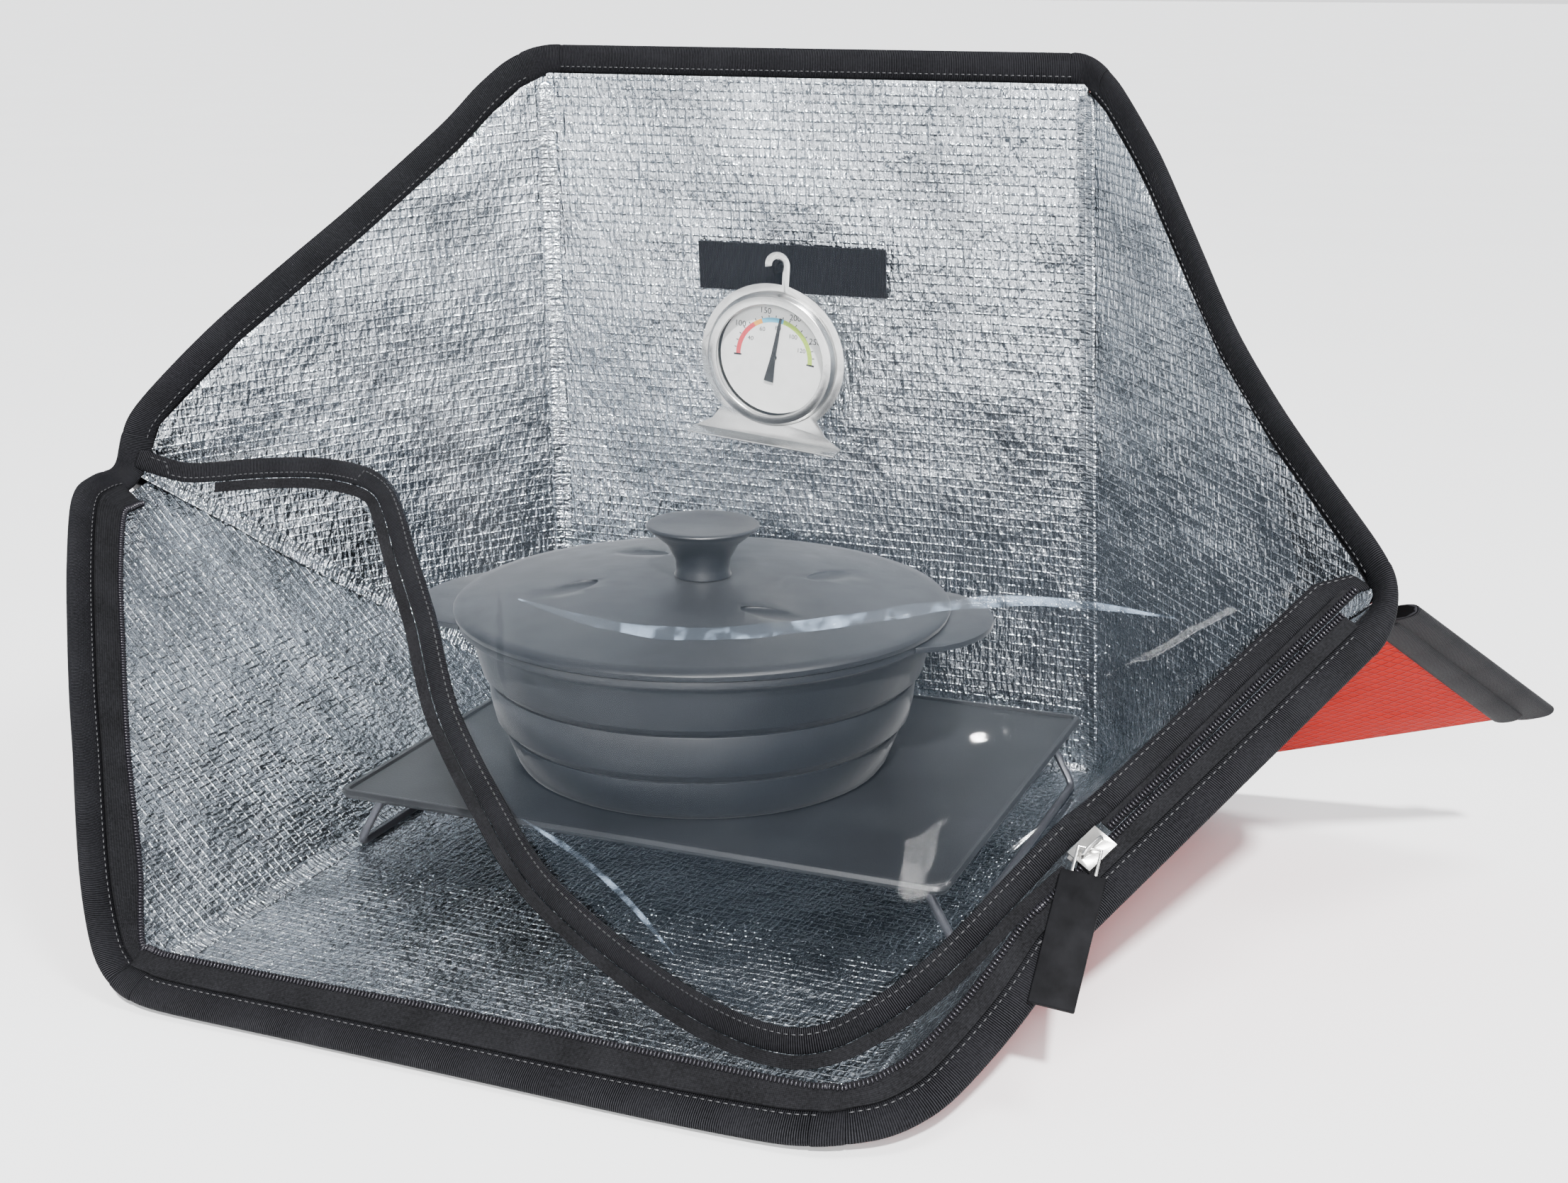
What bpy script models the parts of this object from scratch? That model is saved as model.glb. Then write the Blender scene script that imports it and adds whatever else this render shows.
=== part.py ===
"""Folding solar oven with its tray, pot and thermometer.

Metres, +Z up, the oven stands on z = 0, its open side faces -Y.
The shell is a flat sheet folded up round its two back floor corners: floor, back,
and on each side a lower panel, an upper panel and a pinched gusset between them.
"""

import math

import bmesh
import bpy
from mathutils import Matrix, Vector

# Driving dimensions
FLOOR_WIDTH = 0.300
FLOOR_DEPTH = 0.356
BACK_RISE = 0.3475
COVER_THICK = 0.0010
CORE_THICK = 0.0022
LINER_THICK = 0.0012
LAYER_GAP = 0.0003
FIT_GAP = 0.0003
CREASE_GAP = 0.0003
HINGE_ROOM = 0.0012
BINDING_WIDTH = 0.013
BINDING_THICK = 0.0055
BINDING_SINK = 0.0026
FLAP_BINDING_WIDTH = 0.010
FLAP_BINDING_THICK = 0.0032
TAPE_THICK = 0.0009
COIL_THICK = 0.0026
COIL_WIDTH = 0.0032
ZIP_LOW = BINDING_THICK - 2 * BINDING_SINK + FIT_GAP
WINDOW_THICK = 0.0006
GUSSET_THICK = 0.0024
GUSSET_REACH = 0.2384
GUSSET_SHIFT = 0.0018
GUSSET_BINDING = 0.020

TRAY_WIDTH = FLOOR_WIDTH * 0.97
TRAY_DEPTH = FLOOR_DEPTH * 0.6545
TRAY_HEIGHT = 0.035
TRAY_X = 0.001
TRAY_Y = 0.0518
TRAY_RIM = 0.0021
TRAY_SHEET = 0.0010
LEG_WIRE = 0.0040
LEG_SPLAY = 0.014

POT_X = -0.0104
POT_Y = 0.0470
POT_BASE_RADIUS = 0.0870
POT_RIM_RADIUS = 0.1150
POT_WALL = 0.0022
POT_HEIGHT = 0.0735
# Walls of the pot, each a pair of (share of the pot's height, growth over the base radius)
POT_CUP = ((0.0, 0.0), (0.279, 0.0085))
POT_MIDDLE = ((0.333, 0.0115), (0.599, 0.0145))
POT_UPPER = ((0.653, 0.0175), (0.939, 0.0222))
POT_GRIP_REACH = 0.137
POT_GRIP_TURN = math.radians(13.0)
LID_RADIUS = 0.1170
LID_RISE = 0.0150
LID_THICK = 0.0030
KNOB_RADIUS = 0.0270
KNOB_NECK = 0.0125
KNOB_HEIGHT = 0.0250

GAUGE_X = -0.0111
GAUGE_Z = 0.2634
GAUGE_TILT = math.radians(5.3)
GAUGE_RADIUS = 0.0385
GAUGE_DROP = 0.0480
GAUGE_STANDOFF = 0.0122
GAUGE_SHEET = 0.0008
CASE_RADIUS = 0.0310
FOOT_WIDTH = 0.080
LABEL_LENGTH = 0.100
LABEL_HEIGHT = 0.024

ZIP_CLOSED_LENGTH = 0.1560
RIGHT_BAND = 0.0205
SLIDER_LENGTH = 0.0150
SLIDER_WIDTH = 0.0110
TAB_LENGTH = 0.0520
TAB_WIDTH = 0.0170
TAB_THICK = 0.0030

# Levels and lines worked out from them
FLOOR_TOP = COVER_THICK + CORE_THICK + LINER_THICK + 2 * LAYER_GAP
HALF_FLOOR = FLOOR_WIDTH / 2
BACK_Y = FLOOR_DEPTH / 2
SCALE_X = FLOOR_WIDTH / 0.300
SCALE_Y = FLOOR_DEPTH / 0.356
SCALE_Z = BACK_RISE / 0.3475
COVER_DEPTH = LINER_THICK + CORE_THICK + 2 * LAYER_GAP
CORE_DEPTH = LINER_THICK + LAYER_GAP
TRAY_TOP = FLOOR_TOP + TRAY_HEIGHT
PLATE_TOP = TRAY_TOP - 0.0015
POT_FLOOR = PLATE_TOP + FIT_GAP
POT_TOP = POT_FLOOR + POT_HEIGHT
LID_EDGE = POT_TOP + FIT_GAP

# Materials: colour, roughness, metallic, alpha
PAINTS = {
    "foil": ((0.78, 0.81, 0.84), 0.28, 1.0, 1.0),
    "core": ((0.82, 0.82, 0.80), 0.9, 0.0, 1.0),
    "ripstop": ((0.66, 0.045, 0.012), 0.62, 0.0, 1.0),
    "binding": ((0.018, 0.018, 0.019), 0.85, 0.0, 1.0),
    "zip": ((0.012, 0.012, 0.013), 0.5, 0.0, 1.0),
    "window": ((0.80, 0.86, 0.90), 0.08, 0.0, 0.25),
    "nickel": ((0.78, 0.77, 0.75), 0.22, 1.0, 1.0),
    "rubber": ((0.020, 0.020, 0.021), 0.55, 0.0, 1.0),
    "steel": ((0.72, 0.72, 0.71), 0.25, 1.0, 1.0),
    "dial": ((0.93, 0.93, 0.92), 0.5, 0.0, 1.0),
    "lens": ((0.95, 0.97, 0.98), 0.03, 0.0, 0.2),
    "pointer": ((0.02, 0.02, 0.02), 0.5, 0.0, 1.0),
    "brass": ((0.75, 0.55, 0.25), 0.35, 1.0, 1.0),
    "tray": ((0.035, 0.037, 0.041), 0.42, 0.35, 1.0),
    "wire": ((0.10, 0.10, 0.11), 0.4, 0.8, 1.0),
    "silicone": ((0.045, 0.050, 0.058), 0.6, 0.0, 1.0),
}


def clear_scene():
    for old in list(bpy.data.objects):
        bpy.data.objects.remove(old, do_unlink=True)


def make_collection(name):
    group = bpy.data.collections.new(name)
    bpy.context.scene.collection.children.link(group)
    return group


def make_materials():
    made = {}
    for name, (colour, rough, metal, alpha) in PAINTS.items():
        material = bpy.data.materials.new(name)
        material.use_nodes = True
        shader = material.node_tree.nodes["Principled BSDF"]
        shader.inputs["Base Color"].default_value = (*colour, 1.0)
        shader.inputs["Roughness"].default_value = rough
        shader.inputs["Metallic"].default_value = metal
        shader.inputs["Alpha"].default_value = alpha
        made[name] = material
    return made


def shell_point(x, y, z):
    """Point of the shell, stretched from the measured shell to the driving sizes."""
    return Vector((x * SCALE_X, y * SCALE_Y, FLOOR_TOP + (z - FLOOR_TOP) * SCALE_Z))


def shell_line(points):
    return [shell_point(*point) for point in points]


SLIDER_POINT = shell_point(0.2160, -0.1090, 0.0844)
ZIP_RUN = (shell_point(0.7150, 0.5880, 0.5994) - SLIDER_POINT).normalized()
ZIP_INWARD = shell_point(-0.6370, 0.1820, 0.5174) - SLIDER_POINT
FRONT_Y = -0.2052 * SCALE_Y

clear_scene()
OVEN = make_collection("solar_oven")
CUTTERS = make_collection("cutters")
MATERIALS = make_materials()


def add_part(name, mesh, paint, home=None):
    part = bpy.data.objects.new(name, mesh)
    material = MATERIALS[paint].copy()
    material.name = name
    mesh.materials.clear()
    mesh.materials.append(material)
    (home or OVEN).objects.link(part)
    return part


def mesh_from(name, work):
    bmesh.ops.recalc_face_normals(work, faces=work.faces)
    mesh = bpy.data.meshes.new(name)
    work.to_mesh(mesh)
    work.free()
    return mesh


def smooth_faces(part, angle=35.0):
    part.data.shade_smooth()
    part.data.set_sharp_from_angle(angle=math.radians(angle))
    return part


def evaluated_mesh(part, name):
    bpy.context.view_layer.update()
    depsgraph = bpy.context.evaluated_depsgraph_get()
    mesh = bpy.data.meshes.new_from_object(part.evaluated_get(depsgraph))
    mesh.transform(part.matrix_world)
    mesh.name = name
    return mesh


def weld(mesh):
    work = bmesh.new()
    work.from_mesh(mesh)
    bmesh.ops.remove_doubles(work, verts=work.verts, dist=0.00001)
    bmesh.ops.recalc_face_normals(work, faces=work.faces)
    work.to_mesh(mesh)
    work.free()
    return mesh


def bake(part, paint, home=None):
    """Turn a curve or a part with modifiers into a plain welded mesh part."""
    name = part.name
    part.name = name + "_source"
    mesh = weld(evaluated_mesh(part, name))
    bpy.data.objects.remove(part, do_unlink=True)
    return add_part(name, mesh, paint, home)


def boolean(part, other, operation):
    change = part.modifiers.new(operation.lower(), "BOOLEAN")
    change.operation = operation
    change.object = other
    change.solver = "EXACT"
    return part


def cut(part, cutter, paint):
    """Cut a part with a cutter and bake the result."""
    boolean(part, cutter, "DIFFERENCE")
    baked = bake(part, paint)
    cutter.hide_render = True
    cutter.display_type = "WIRE"
    return baked


def join(part, other, paint):
    """Union of two solids, baked as one."""
    boolean(part, other, "UNION")
    baked = bake(part, paint)
    bpy.data.objects.remove(other, do_unlink=True)
    return baked


def box(name, low, high, paint, bevel=0.0, home=None):
    bpy.ops.mesh.primitive_cube_add(size=1.0)
    part = bpy.context.object
    centre = (Vector(low) + Vector(high)) / 2
    size = Vector(high) - Vector(low)
    part.data.transform(Matrix.Translation(centre) @ Matrix.Diagonal((*size, 1.0)))
    mesh = part.data
    bpy.data.objects.remove(part, do_unlink=True)
    part = add_part(name, mesh, paint, home)
    if bevel > 0.0:
        edge = part.modifiers.new("round", "BEVEL")
        edge.width = bevel
        edge.segments = 2
    return part


def turned(name, profile, paint, centre=(0, 0, 0), steps=48, closed=True, home=None):
    """Screw a profile of (radius, height); its outer side runs from top to bottom."""
    work = bmesh.new()
    points = [work.verts.new((radius, 0.0, height)) for radius, height in profile]
    for first, second in zip(points, points[1:]):
        work.edges.new((first, second))
    if closed:
        work.edges.new((points[-1], points[0]))
    mesh = bpy.data.meshes.new(name)
    work.to_mesh(mesh)
    work.free()
    part = add_part(name, mesh, paint, home)
    part.location = centre
    screw = part.modifiers.new("turn", "SCREW")
    screw.axis = "Z"
    screw.steps = steps
    screw.render_steps = steps
    screw.use_merge_vertices = True
    screw.merge_threshold = 0.00005
    return part


def wire(name, points, radius, paint, resolution=2, closed=False, home=None):
    curve = bpy.data.curves.new(name, "CURVE")
    curve.dimensions = "3D"
    curve.bevel_depth = radius
    curve.bevel_resolution = resolution
    curve.use_fill_caps = True
    line = curve.splines.new("POLY")
    line.points.add(len(points) - 1)
    for place, point in zip(line.points, points):
        place.co = (*point, 1.0)
    line.use_cyclic_u = closed
    part = bpy.data.objects.new(name, curve)
    (home or OVEN).objects.link(part)
    return bake(part, paint, home)


def flat_plate(name, outlines, thick, paint, home=None):
    """Filled outlines in the XY plane, the second and later ones being holes."""
    curve = bpy.data.curves.new(name, "CURVE")
    curve.dimensions = "2D"
    curve.fill_mode = "BOTH"
    curve.extrude = thick / 2
    for outline in outlines:
        line = curve.splines.new("POLY")
        line.points.add(len(outline) - 1)
        for place, (x, y) in zip(line.points, outline):
            place.co = (x, y, 0.0, 1.0)
        line.use_cyclic_u = True
    part = bpy.data.objects.new(name, curve)
    (home or OVEN).objects.link(part)
    return bake(part, paint, home)


def arc(centre, radius, start, end, count):
    """Points of an arc in a plane, angles in degrees."""
    points = []
    for step in range(count + 1):
        angle = math.radians(start + (end - start) * step / count)
        points.append((centre[0] + radius * math.cos(angle), centre[1] + radius * math.sin(angle)))
    return points


def smooth_line(points, per_span):
    """Catmull-Rom line through the points."""
    points = [Vector(point) for point in points]
    padded = [2 * points[0] - points[1]] + points + [2 * points[-1] - points[-2]]
    line = []
    for index in range(len(points) - 1):
        before, start, end, after = padded[index:index + 4]
        for step in range(per_span):
            t = step / per_span
            line.append(0.5 * ((2 * start) + (end - before) * t
                               + (2 * before - 5 * start + 4 * end - after) * t * t
                               + (3 * start - before - 3 * end + after) * t * t * t))
    line.append(points[-1])
    return line


def loft(name, rings, paint, home=None):
    """Skin closed rings of equal length and close both ends."""
    work = bmesh.new()
    rows = [[work.verts.new(point) for point in ring] for ring in rings]
    count = len(rows[0])
    for row, following in zip(rows, rows[1:]):
        for index in range(count):
            after = (index + 1) % count
            work.faces.new((row[index], row[after], following[after], following[index]))
    work.faces.new(list(reversed(rows[0])))
    work.faces.new(rows[-1])
    return smooth_faces(add_part(name, mesh_from(name, work), paint, home), 50.0)


def tangents(line):
    result = []
    for index in range(len(line)):
        ahead = line[min(index + 1, len(line) - 1)]
        behind = line[max(index - 1, 0)]
        result.append((ahead - behind).normalized())
    return result


def rounded_section(width, thick, sink, start=0.0):
    """Cross section of a folded binding: across runs inwards, up is the facing side."""
    low = -sink * 2
    top = low + thick
    r = thick * 0.36
    return [(start + r, low), (start + width - r, low), (start + width, low + r),
            (start + width, top - r), (start + width - r, top), (start + r, top),
            (start, top - r), (start, low + r)]


def ribbon(name, outer, inner, section, paint, first=None, last=None):
    """Sweep a section between an outer line and an inner line.

    The section's first value runs from the outer line towards the inner line, its second
    along the face normal. A section may be a function of the local width. The first and
    last rings may be turned to a given direction, to meet a neighbour squarely.
    """
    rings = []
    directions = tangents(outer)
    directions[0] = first or directions[0]
    directions[-1] = last or directions[-1]
    for point, mate, along in zip(outer, inner, directions):
        across = mate - point
        across -= along * across.dot(along)
        width = across.length
        across.normalize()
        normal = along.cross(across).normalized()
        shape = section(width) if callable(section) else section
        rings.append([point + across * a + normal * b for a, b in shape])
    return loft(name, rings, paint)


def edge_section():
    return rounded_section(BINDING_WIDTH, BINDING_THICK, BINDING_SINK)


def zip_section(width):
    """Woven tape from the binding inwards, with the coil on its free edge."""
    start = BINDING_WIDTH - 0.0015
    low = ZIP_LOW
    tape = low + TAPE_THICK
    coil = low + COIL_THICK
    edge = width
    return [(start, low), (edge, low), (edge, coil), (edge - COIL_WIDTH, coil),
            (edge - COIL_WIDTH, tape), (start, tape)]


def inset_loop(loop, distances, normal):
    """Move each edge of a nearly flat loop inwards by its own distance."""
    moved = []
    count = len(loop)
    for index in range(count):
        point = loop[index]
        before = (point - loop[index - 1]).normalized()
        after = (loop[(index + 1) % count] - point).normalized()
        side_before = normal.cross(before).normalized()
        side_after = normal.cross(after).normalized()
        d_before = distances[index - 1]
        d_after = distances[index]
        cosine = side_before.dot(side_after)
        if cosine > 0.999:
            moved.append(point + side_before * (d_before + d_after) / 2)
            continue
        first = (d_before - d_after * cosine) / (1 - cosine * cosine)
        second = (d_after - d_before * cosine) / (1 - cosine * cosine)
        moved.append(point + side_before * first + side_after * second)
    return moved


def fan_layer(name, loop, normal, depth, thick, paint):
    """One layer of a panel: a fan of faces from the loop's first point, given a thickness.

    The loop lies on the foil side; the layer starts at this depth below it.
    """
    work = bmesh.new()
    points = [work.verts.new(point - normal * depth) for point in loop]
    for index in range(1, len(points) - 1):
        work.faces.new((points[0], points[index], points[index + 1]))
    bmesh.ops.dissolve_limit(work, angle_limit=math.radians(0.05), verts=work.verts,
                             edges=work.edges)
    work.faces.ensure_lookup_table()
    total = Vector((0, 0, 0))
    for face in work.faces:
        total += face.normal * face.calc_area()
    if total.dot(normal) < 0:
        bmesh.ops.reverse_faces(work, faces=work.faces)
    mesh = bpy.data.meshes.new(name)
    work.to_mesh(mesh)
    work.free()
    part = add_part(name, mesh, paint)
    wall = part.modifiers.new("thickness", "SOLIDIFY")
    wall.thickness = thick
    wall.offset = -1.0
    return part


def loop_normal(loop):
    total = Vector((0, 0, 0))
    for index in range(1, len(loop) - 1):
        total += (loop[index] - loop[0]).cross(loop[index + 1] - loop[0])
    return total.normalized()


def panel(prefix, loop, distances, inward):
    """Foil liner, insulation and outer cover of one panel, from its foil-side outline."""
    normal = loop_normal(loop)
    if normal.dot(inward) < 0:
        normal = -normal
    if (loop[1] - loop[0]).cross(loop[2] - loop[0]).dot(normal) < 0:
        side = -normal
    else:
        side = normal
    face = inset_loop(loop, distances, side)
    return [
        fan_layer(prefix + "_liner", face, normal, 0.0, LINER_THICK, "foil"),
        fan_layer(prefix + "_core", face, normal, CORE_DEPTH, CORE_THICK, "core"),
        fan_layer(prefix + "_cover", face, normal, COVER_DEPTH, COVER_THICK, "ripstop"),
    ]


def clip_line(points, anchor, inside):
    """Part of a line where the inside direction from the anchor is positive."""
    kept = []
    for index, point in enumerate(points):
        height = (point - anchor).dot(inside)
        if index > 0:
            last = (points[index - 1] - anchor).dot(inside)
            if (last < 0) != (height < 0):
                kept.append(points[index - 1].lerp(point, last / (last - height)))
        if height >= 0:
            kept.append(point)
    return kept


def wedge_loop(line, apex, first, second, normal):
    """Loop of a panel between two fold lines from the apex and its free edge line.

    The line runs from the first fold to the second and is laid onto the panel's plane.
    """
    line = [point - normal * (point - apex).dot(normal) for point in line]
    reach = 0.04
    line = ([line[0] + (line[0] - line[1]).normalized() * reach] + line
            + [line[-1] + (line[-1] - line[-2]).normalized() * reach])
    for ray, other in ((first, second), (second, first)):
        ray = ray.normalized()
        inside = other - ray * other.dot(ray)
        line = clip_line(line, apex, inside.normalized())
    return [apex] + line


# The fold lines of the shell
def floor_corner(side):
    return Vector((side * HALF_FLOOR, BACK_Y, FLOOR_TOP))


def top_corner(side):
    return shell_point(side * 0.1400, 0.1458, 0.3525)


def notch(side):
    return shell_point(side * 0.3032, 0.0025, 0.1648)


UP = Vector((0, 0, 1))
ACROSS = Vector((1, 0, 0))
BACK_UP = (shell_point(0, 0.1458, 0.3525) - shell_point(0, 0.178, FLOOR_TOP)).normalized()
BACK_NORMAL = Vector((0, -BACK_UP.z, BACK_UP.y))
BACK_LEAN = math.atan2(-BACK_UP.y, BACK_UP.z)


def facing_in(normal, side):
    """The normal or its opposite, whichever looks into the oven from this side."""
    return normal if normal.dot(Vector((-side, -0.5, 0.5))) > 0 else -normal


def upper_normal(side):
    apex = floor_corner(side)
    return facing_in((top_corner(side) - apex).cross(notch(side) - apex).normalized(), side)


def lower_normal(side):
    apex = floor_corner(side)
    return facing_in((notch(side) - apex).cross(Vector((0, -1, 0))).normalized(), side)


# Lower rim: outer line of the binding and line of the zip coil
LEFT_OUTER = [(-0.3030, -0.006, 0.1645), (-0.2980, -0.042, 0.1592), (-0.2515, -0.107, 0.1110),
              (-0.2190, -0.147, 0.0770), (-0.1870, -0.186, 0.0436), (-0.1660, -0.207, 0.0190),
              (-0.1513, -0.2145, 0.0078)]
LEFT_COIL = [(-0.2860, -0.006, 0.1468), (-0.2800, -0.033, 0.1406), (-0.2360, -0.092, 0.0947),
             (-0.2050, -0.131, 0.0624), (-0.1745, -0.166, 0.0310), (-0.1610, -0.186, 0.0200),
             (-0.1513, -0.1955, 0.0185)]
FRONT_OUTER = [(-0.1487, -0.2150, 0.0072), (-0.1300, -0.2172, 0.0056), (-0.0700, -0.2168, 0.0052),
               (0.0000, -0.2172, 0.0052), (0.0800, -0.2180, 0.0052), (0.1300, -0.2172, 0.0056),
               (0.1487, -0.2150, 0.0072)]
FRONT_COIL = [(-0.1487, -0.1955, 0.0185), (-0.1300, -0.1975, 0.0180), (-0.0700, -0.1960, 0.0172),
              (0.0000, -0.1950, 0.0172), (0.0800, -0.1960, 0.0172), (0.1300, -0.1975, 0.0180),
              (0.1487, -0.1955, 0.0185)]
RIGHT_OUTER = [(0.1513, -0.2145, 0.0078), (0.1700, -0.2060, 0.0100), (0.1880, -0.1900, 0.0190),
               (0.2060, -0.1600, 0.0405)]
RIGHT_COIL = [(0.1513, -0.1955, 0.0185), (0.1640, -0.1890, 0.0230), (0.1760, -0.1740, 0.0330),
              (0.1880, -0.1530, 0.0500)]
# Distances along the straight stretch of the right zip, measured from the slider
STRAIGHT_STOPS = (-0.038, -0.028, 0.0, 0.050, 0.100, 0.1460)
# Upper rim: outer line of the slope bindings, from the notch to the top corner
LEFT_SLOPE = [(-0.3045, 0.0020, 0.1740), (-0.2980, 0.0065, 0.1925), (-0.2650, 0.0345, 0.2345),
              (-0.2170, 0.0770, 0.2850), (-0.1800, 0.1095, 0.3260), (-0.1670, 0.1205, 0.3430),
              (-0.1545, 0.1310, 0.3565), (-0.1445, 0.1400, 0.3630)]
RIGHT_SLOPE = [(0.3040, 0.0020, 0.1735), (0.2930, 0.0110, 0.1855), (0.2540, 0.0455, 0.2205),
               (0.2260, 0.0710, 0.2520), (0.2070, 0.0870, 0.2810), (0.1870, 0.1035, 0.3130),
               (0.1750, 0.1135, 0.3300), (0.1560, 0.1300, 0.3520), (0.1440, 0.1405, 0.3610)]
# How far below the binding the right panel's edge is tucked, along the lower rim
TUCK_IN = 0.0105
TUCK_UNDER = 0.0062

# Window: centre line of the bound free edge, from the left notch to the slider
FREE_EDGE = [(-0.2935, 0.0050, 0.1665), (-0.2750, 0.0130, 0.1605), (-0.2440, 0.0180, 0.1640),
             (-0.2090, 0.0180, 0.1680), (-0.1744, 0.0090, 0.1695), (-0.1500, -0.0030, 0.1645),
             (-0.1285, -0.0238, 0.1442), (-0.1030, -0.0482, 0.1188), (-0.0810, -0.0702, 0.0883),
             (-0.0435, -0.0958, 0.0572), (-0.0080, -0.1200, 0.0385), (0.0400, -0.1400, 0.0225),
             (0.0880, -0.1660, 0.0200), (0.1240, -0.1750, 0.0210), (0.1450, -0.1620, 0.0270),
             (0.1680, -0.1480, 0.0460), (0.1870, -0.1270, 0.0680), (0.1985, -0.1140, 0.0820),
             (0.2060, -0.1040, 0.0905)]
VIEW_SIDE = Vector((0.35, -0.89, 0.29)).normalized()


def zip_frame():
    """Direction of the closed zip, its inward width direction and its facing normal."""
    across = ZIP_INWARD - ZIP_RUN * ZIP_INWARD.dot(ZIP_RUN)
    across.normalize()
    return ZIP_RUN.copy(), across, ZIP_RUN.cross(across).normalized()


def right_lines():
    """Outer line and coil line of the right lower rim, straight past the slider."""
    along, across, _ = zip_frame()
    coil = shell_line(RIGHT_COIL)
    outer = shell_line(RIGHT_OUTER)
    for stop in STRAIGHT_STOPS:
        point = SLIDER_POINT + along * stop
        coil.append(point)
        outer.append(point - across * RIGHT_BAND)
    return outer, coil


def make_floor():
    loop = [Vector((-HALF_FLOOR, BACK_Y, FLOOR_TOP)), Vector((-HALF_FLOOR, FRONT_Y, FLOOR_TOP)),
            Vector((HALF_FLOOR, FRONT_Y, FLOOR_TOP)), Vector((HALF_FLOOR, BACK_Y, FLOOR_TOP))]
    panel("floor", loop, [CREASE_GAP, 0.0, CREASE_GAP, CREASE_GAP], UP)
    outer = smooth_line(shell_line(FRONT_OUTER), 3)
    coil = smooth_line(shell_line(FRONT_COIL), 3)
    ribbon("front_binding", outer, coil, edge_section(), "binding", ACROSS, ACROSS)
    ribbon("front_zip", outer, coil, zip_section, "zip", ACROSS, ACROSS)


def lower_panel_edge(side, outer, coil):
    """Foil-side edge of a lower side panel just inside its binding."""
    edge = []
    for point, mate, along in zip(outer, coil, tangents(outer)):
        across = mate - point
        across -= along * across.dot(along)
        across.normalize()
        normal = along.cross(across).normalized()
        if side < 0:
            edge.append(point + across * (BINDING_WIDTH + FIT_GAP * 5))
        else:
            edge.append(point + across * TUCK_IN - normal * TUCK_UNDER)
    return edge


def make_lower_side(side, word, outer_points, coil_points):
    outer = smooth_line(outer_points, 2)
    coil = smooth_line(coil_points, 2)
    edge = lower_panel_edge(side, outer_points, coil_points)
    if side > 0:
        edge.reverse()
    apex = floor_corner(side)
    loop = wedge_loop(edge, apex, notch(side) - apex, Vector((0, -1, 0)), lower_normal(side))
    distances = [HINGE_ROOM] + [0.0] * (len(loop) - 2) + [CREASE_GAP]
    panel("lower_%s" % word, loop, distances, lower_normal(side))
    first, last = (ACROSS, None) if side > 0 else (None, ACROSS)
    ribbon("lower_%s_binding" % word, outer, coil, edge_section(), "binding", first, last)
    ribbon("lower_%s_zip" % word, outer, coil, zip_section, "zip", first, last)


def slope_lines(side, depth, per_span=1):
    """Outer line of an upper slope in its panel, and the line this depth inside it."""
    normal = upper_normal(side)
    apex = floor_corner(side)
    points = shell_line(LEFT_SLOPE if side < 0 else RIGHT_SLOPE)
    outer = smooth_line([point - normal * (point - apex).dot(normal) for point in points],
                        per_span)
    turn = side
    inner = [point + normal.cross(along).normalized() * turn * depth
             for point, along in zip(outer, tangents(outer))]
    return outer, inner


def make_upper_side(side, word):
    normal = upper_normal(side)
    outer, inner = slope_lines(side, BINDING_WIDTH + FIT_GAP, 2)
    if side < 0:
        ribbon("upper_left_binding", list(reversed(outer)), list(reversed(inner)),
               edge_section(), "binding")
    else:
        ribbon("upper_right_binding", outer, inner, edge_section(), "binding")
    _, edge = slope_lines(side, BINDING_WIDTH + FIT_GAP * 4)
    apex = floor_corner(side)
    loop = wedge_loop(edge, apex, notch(side) - apex, top_corner(side) - apex, normal)
    distances = [HINGE_ROOM] + [0.0] * (len(loop) - 2) + [CREASE_GAP]
    panel("upper_" + word, loop, distances, normal)


def make_gusset(side, word):
    """Pinched ear: two layers of cover folded together, with a double binding."""
    root = floor_corner(side)
    corner = notch(side)
    tip = root + Vector((side * 0.2070, -0.0450, 0.0775)).normalized() * GUSSET_REACH
    normal = (corner - root).cross(tip - root).normalized()
    if normal.y > 0:
        normal = -normal
    seat = normal * GUSSET_SHIFT
    run = (corner - root).normalized()
    out = (tip - root) - run * (tip - root).dot(run)
    out.normalize()
    start = root + run * 0.016 + out * 0.0046 + seat
    end = corner - run * 0.010 + out * 0.0046 + seat
    rim = corner + out * 0.0120 + seat
    fold = root + (tip - root).normalized() * 0.0260 + seat
    tip += seat
    edge_run = (tip - rim).normalized()
    edge_in = normal.cross(edge_run).normalized()
    if edge_in.dot(root - rim) < 0:
        edge_in = -edge_in
    trim = GUSSET_BINDING + FIT_GAP
    low = fold + (tip - fold) * (1 - trim / edge_in.dot(fold - tip))
    if (end - rim).dot(edge_in) < trim:
        share = (trim - (start - rim).dot(edge_in)) / (end - start).dot(edge_in)
        end = start.lerp(end, share)
    loop = [start, end, low, fold]
    work = bmesh.new()
    points = [work.verts.new(point - normal * GUSSET_THICK / 2) for point in loop]
    work.faces.new(points)
    mesh = bpy.data.meshes.new("gusset_" + word)
    work.to_mesh(mesh)
    work.free()
    part = add_part("gusset_" + word, mesh, "ripstop")
    wall = part.modifiers.new("thickness", "SOLIDIFY")
    wall.thickness = GUSSET_THICK
    wall.offset = 1.0 if part.data.polygons[0].normal.dot(normal) > 0 else -1.0
    section = rounded_section(GUSSET_BINDING, 0.0066, 0.00165)
    count = 5
    outer = [rim.lerp(tip, 0.05 + 0.95 * step / count) for step in range(count + 1)]
    inner = [point + edge_in * GUSSET_BINDING for point in outer]
    ribbon("gusset_%s_binding" % word, outer, inner, section, "binding")


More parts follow.
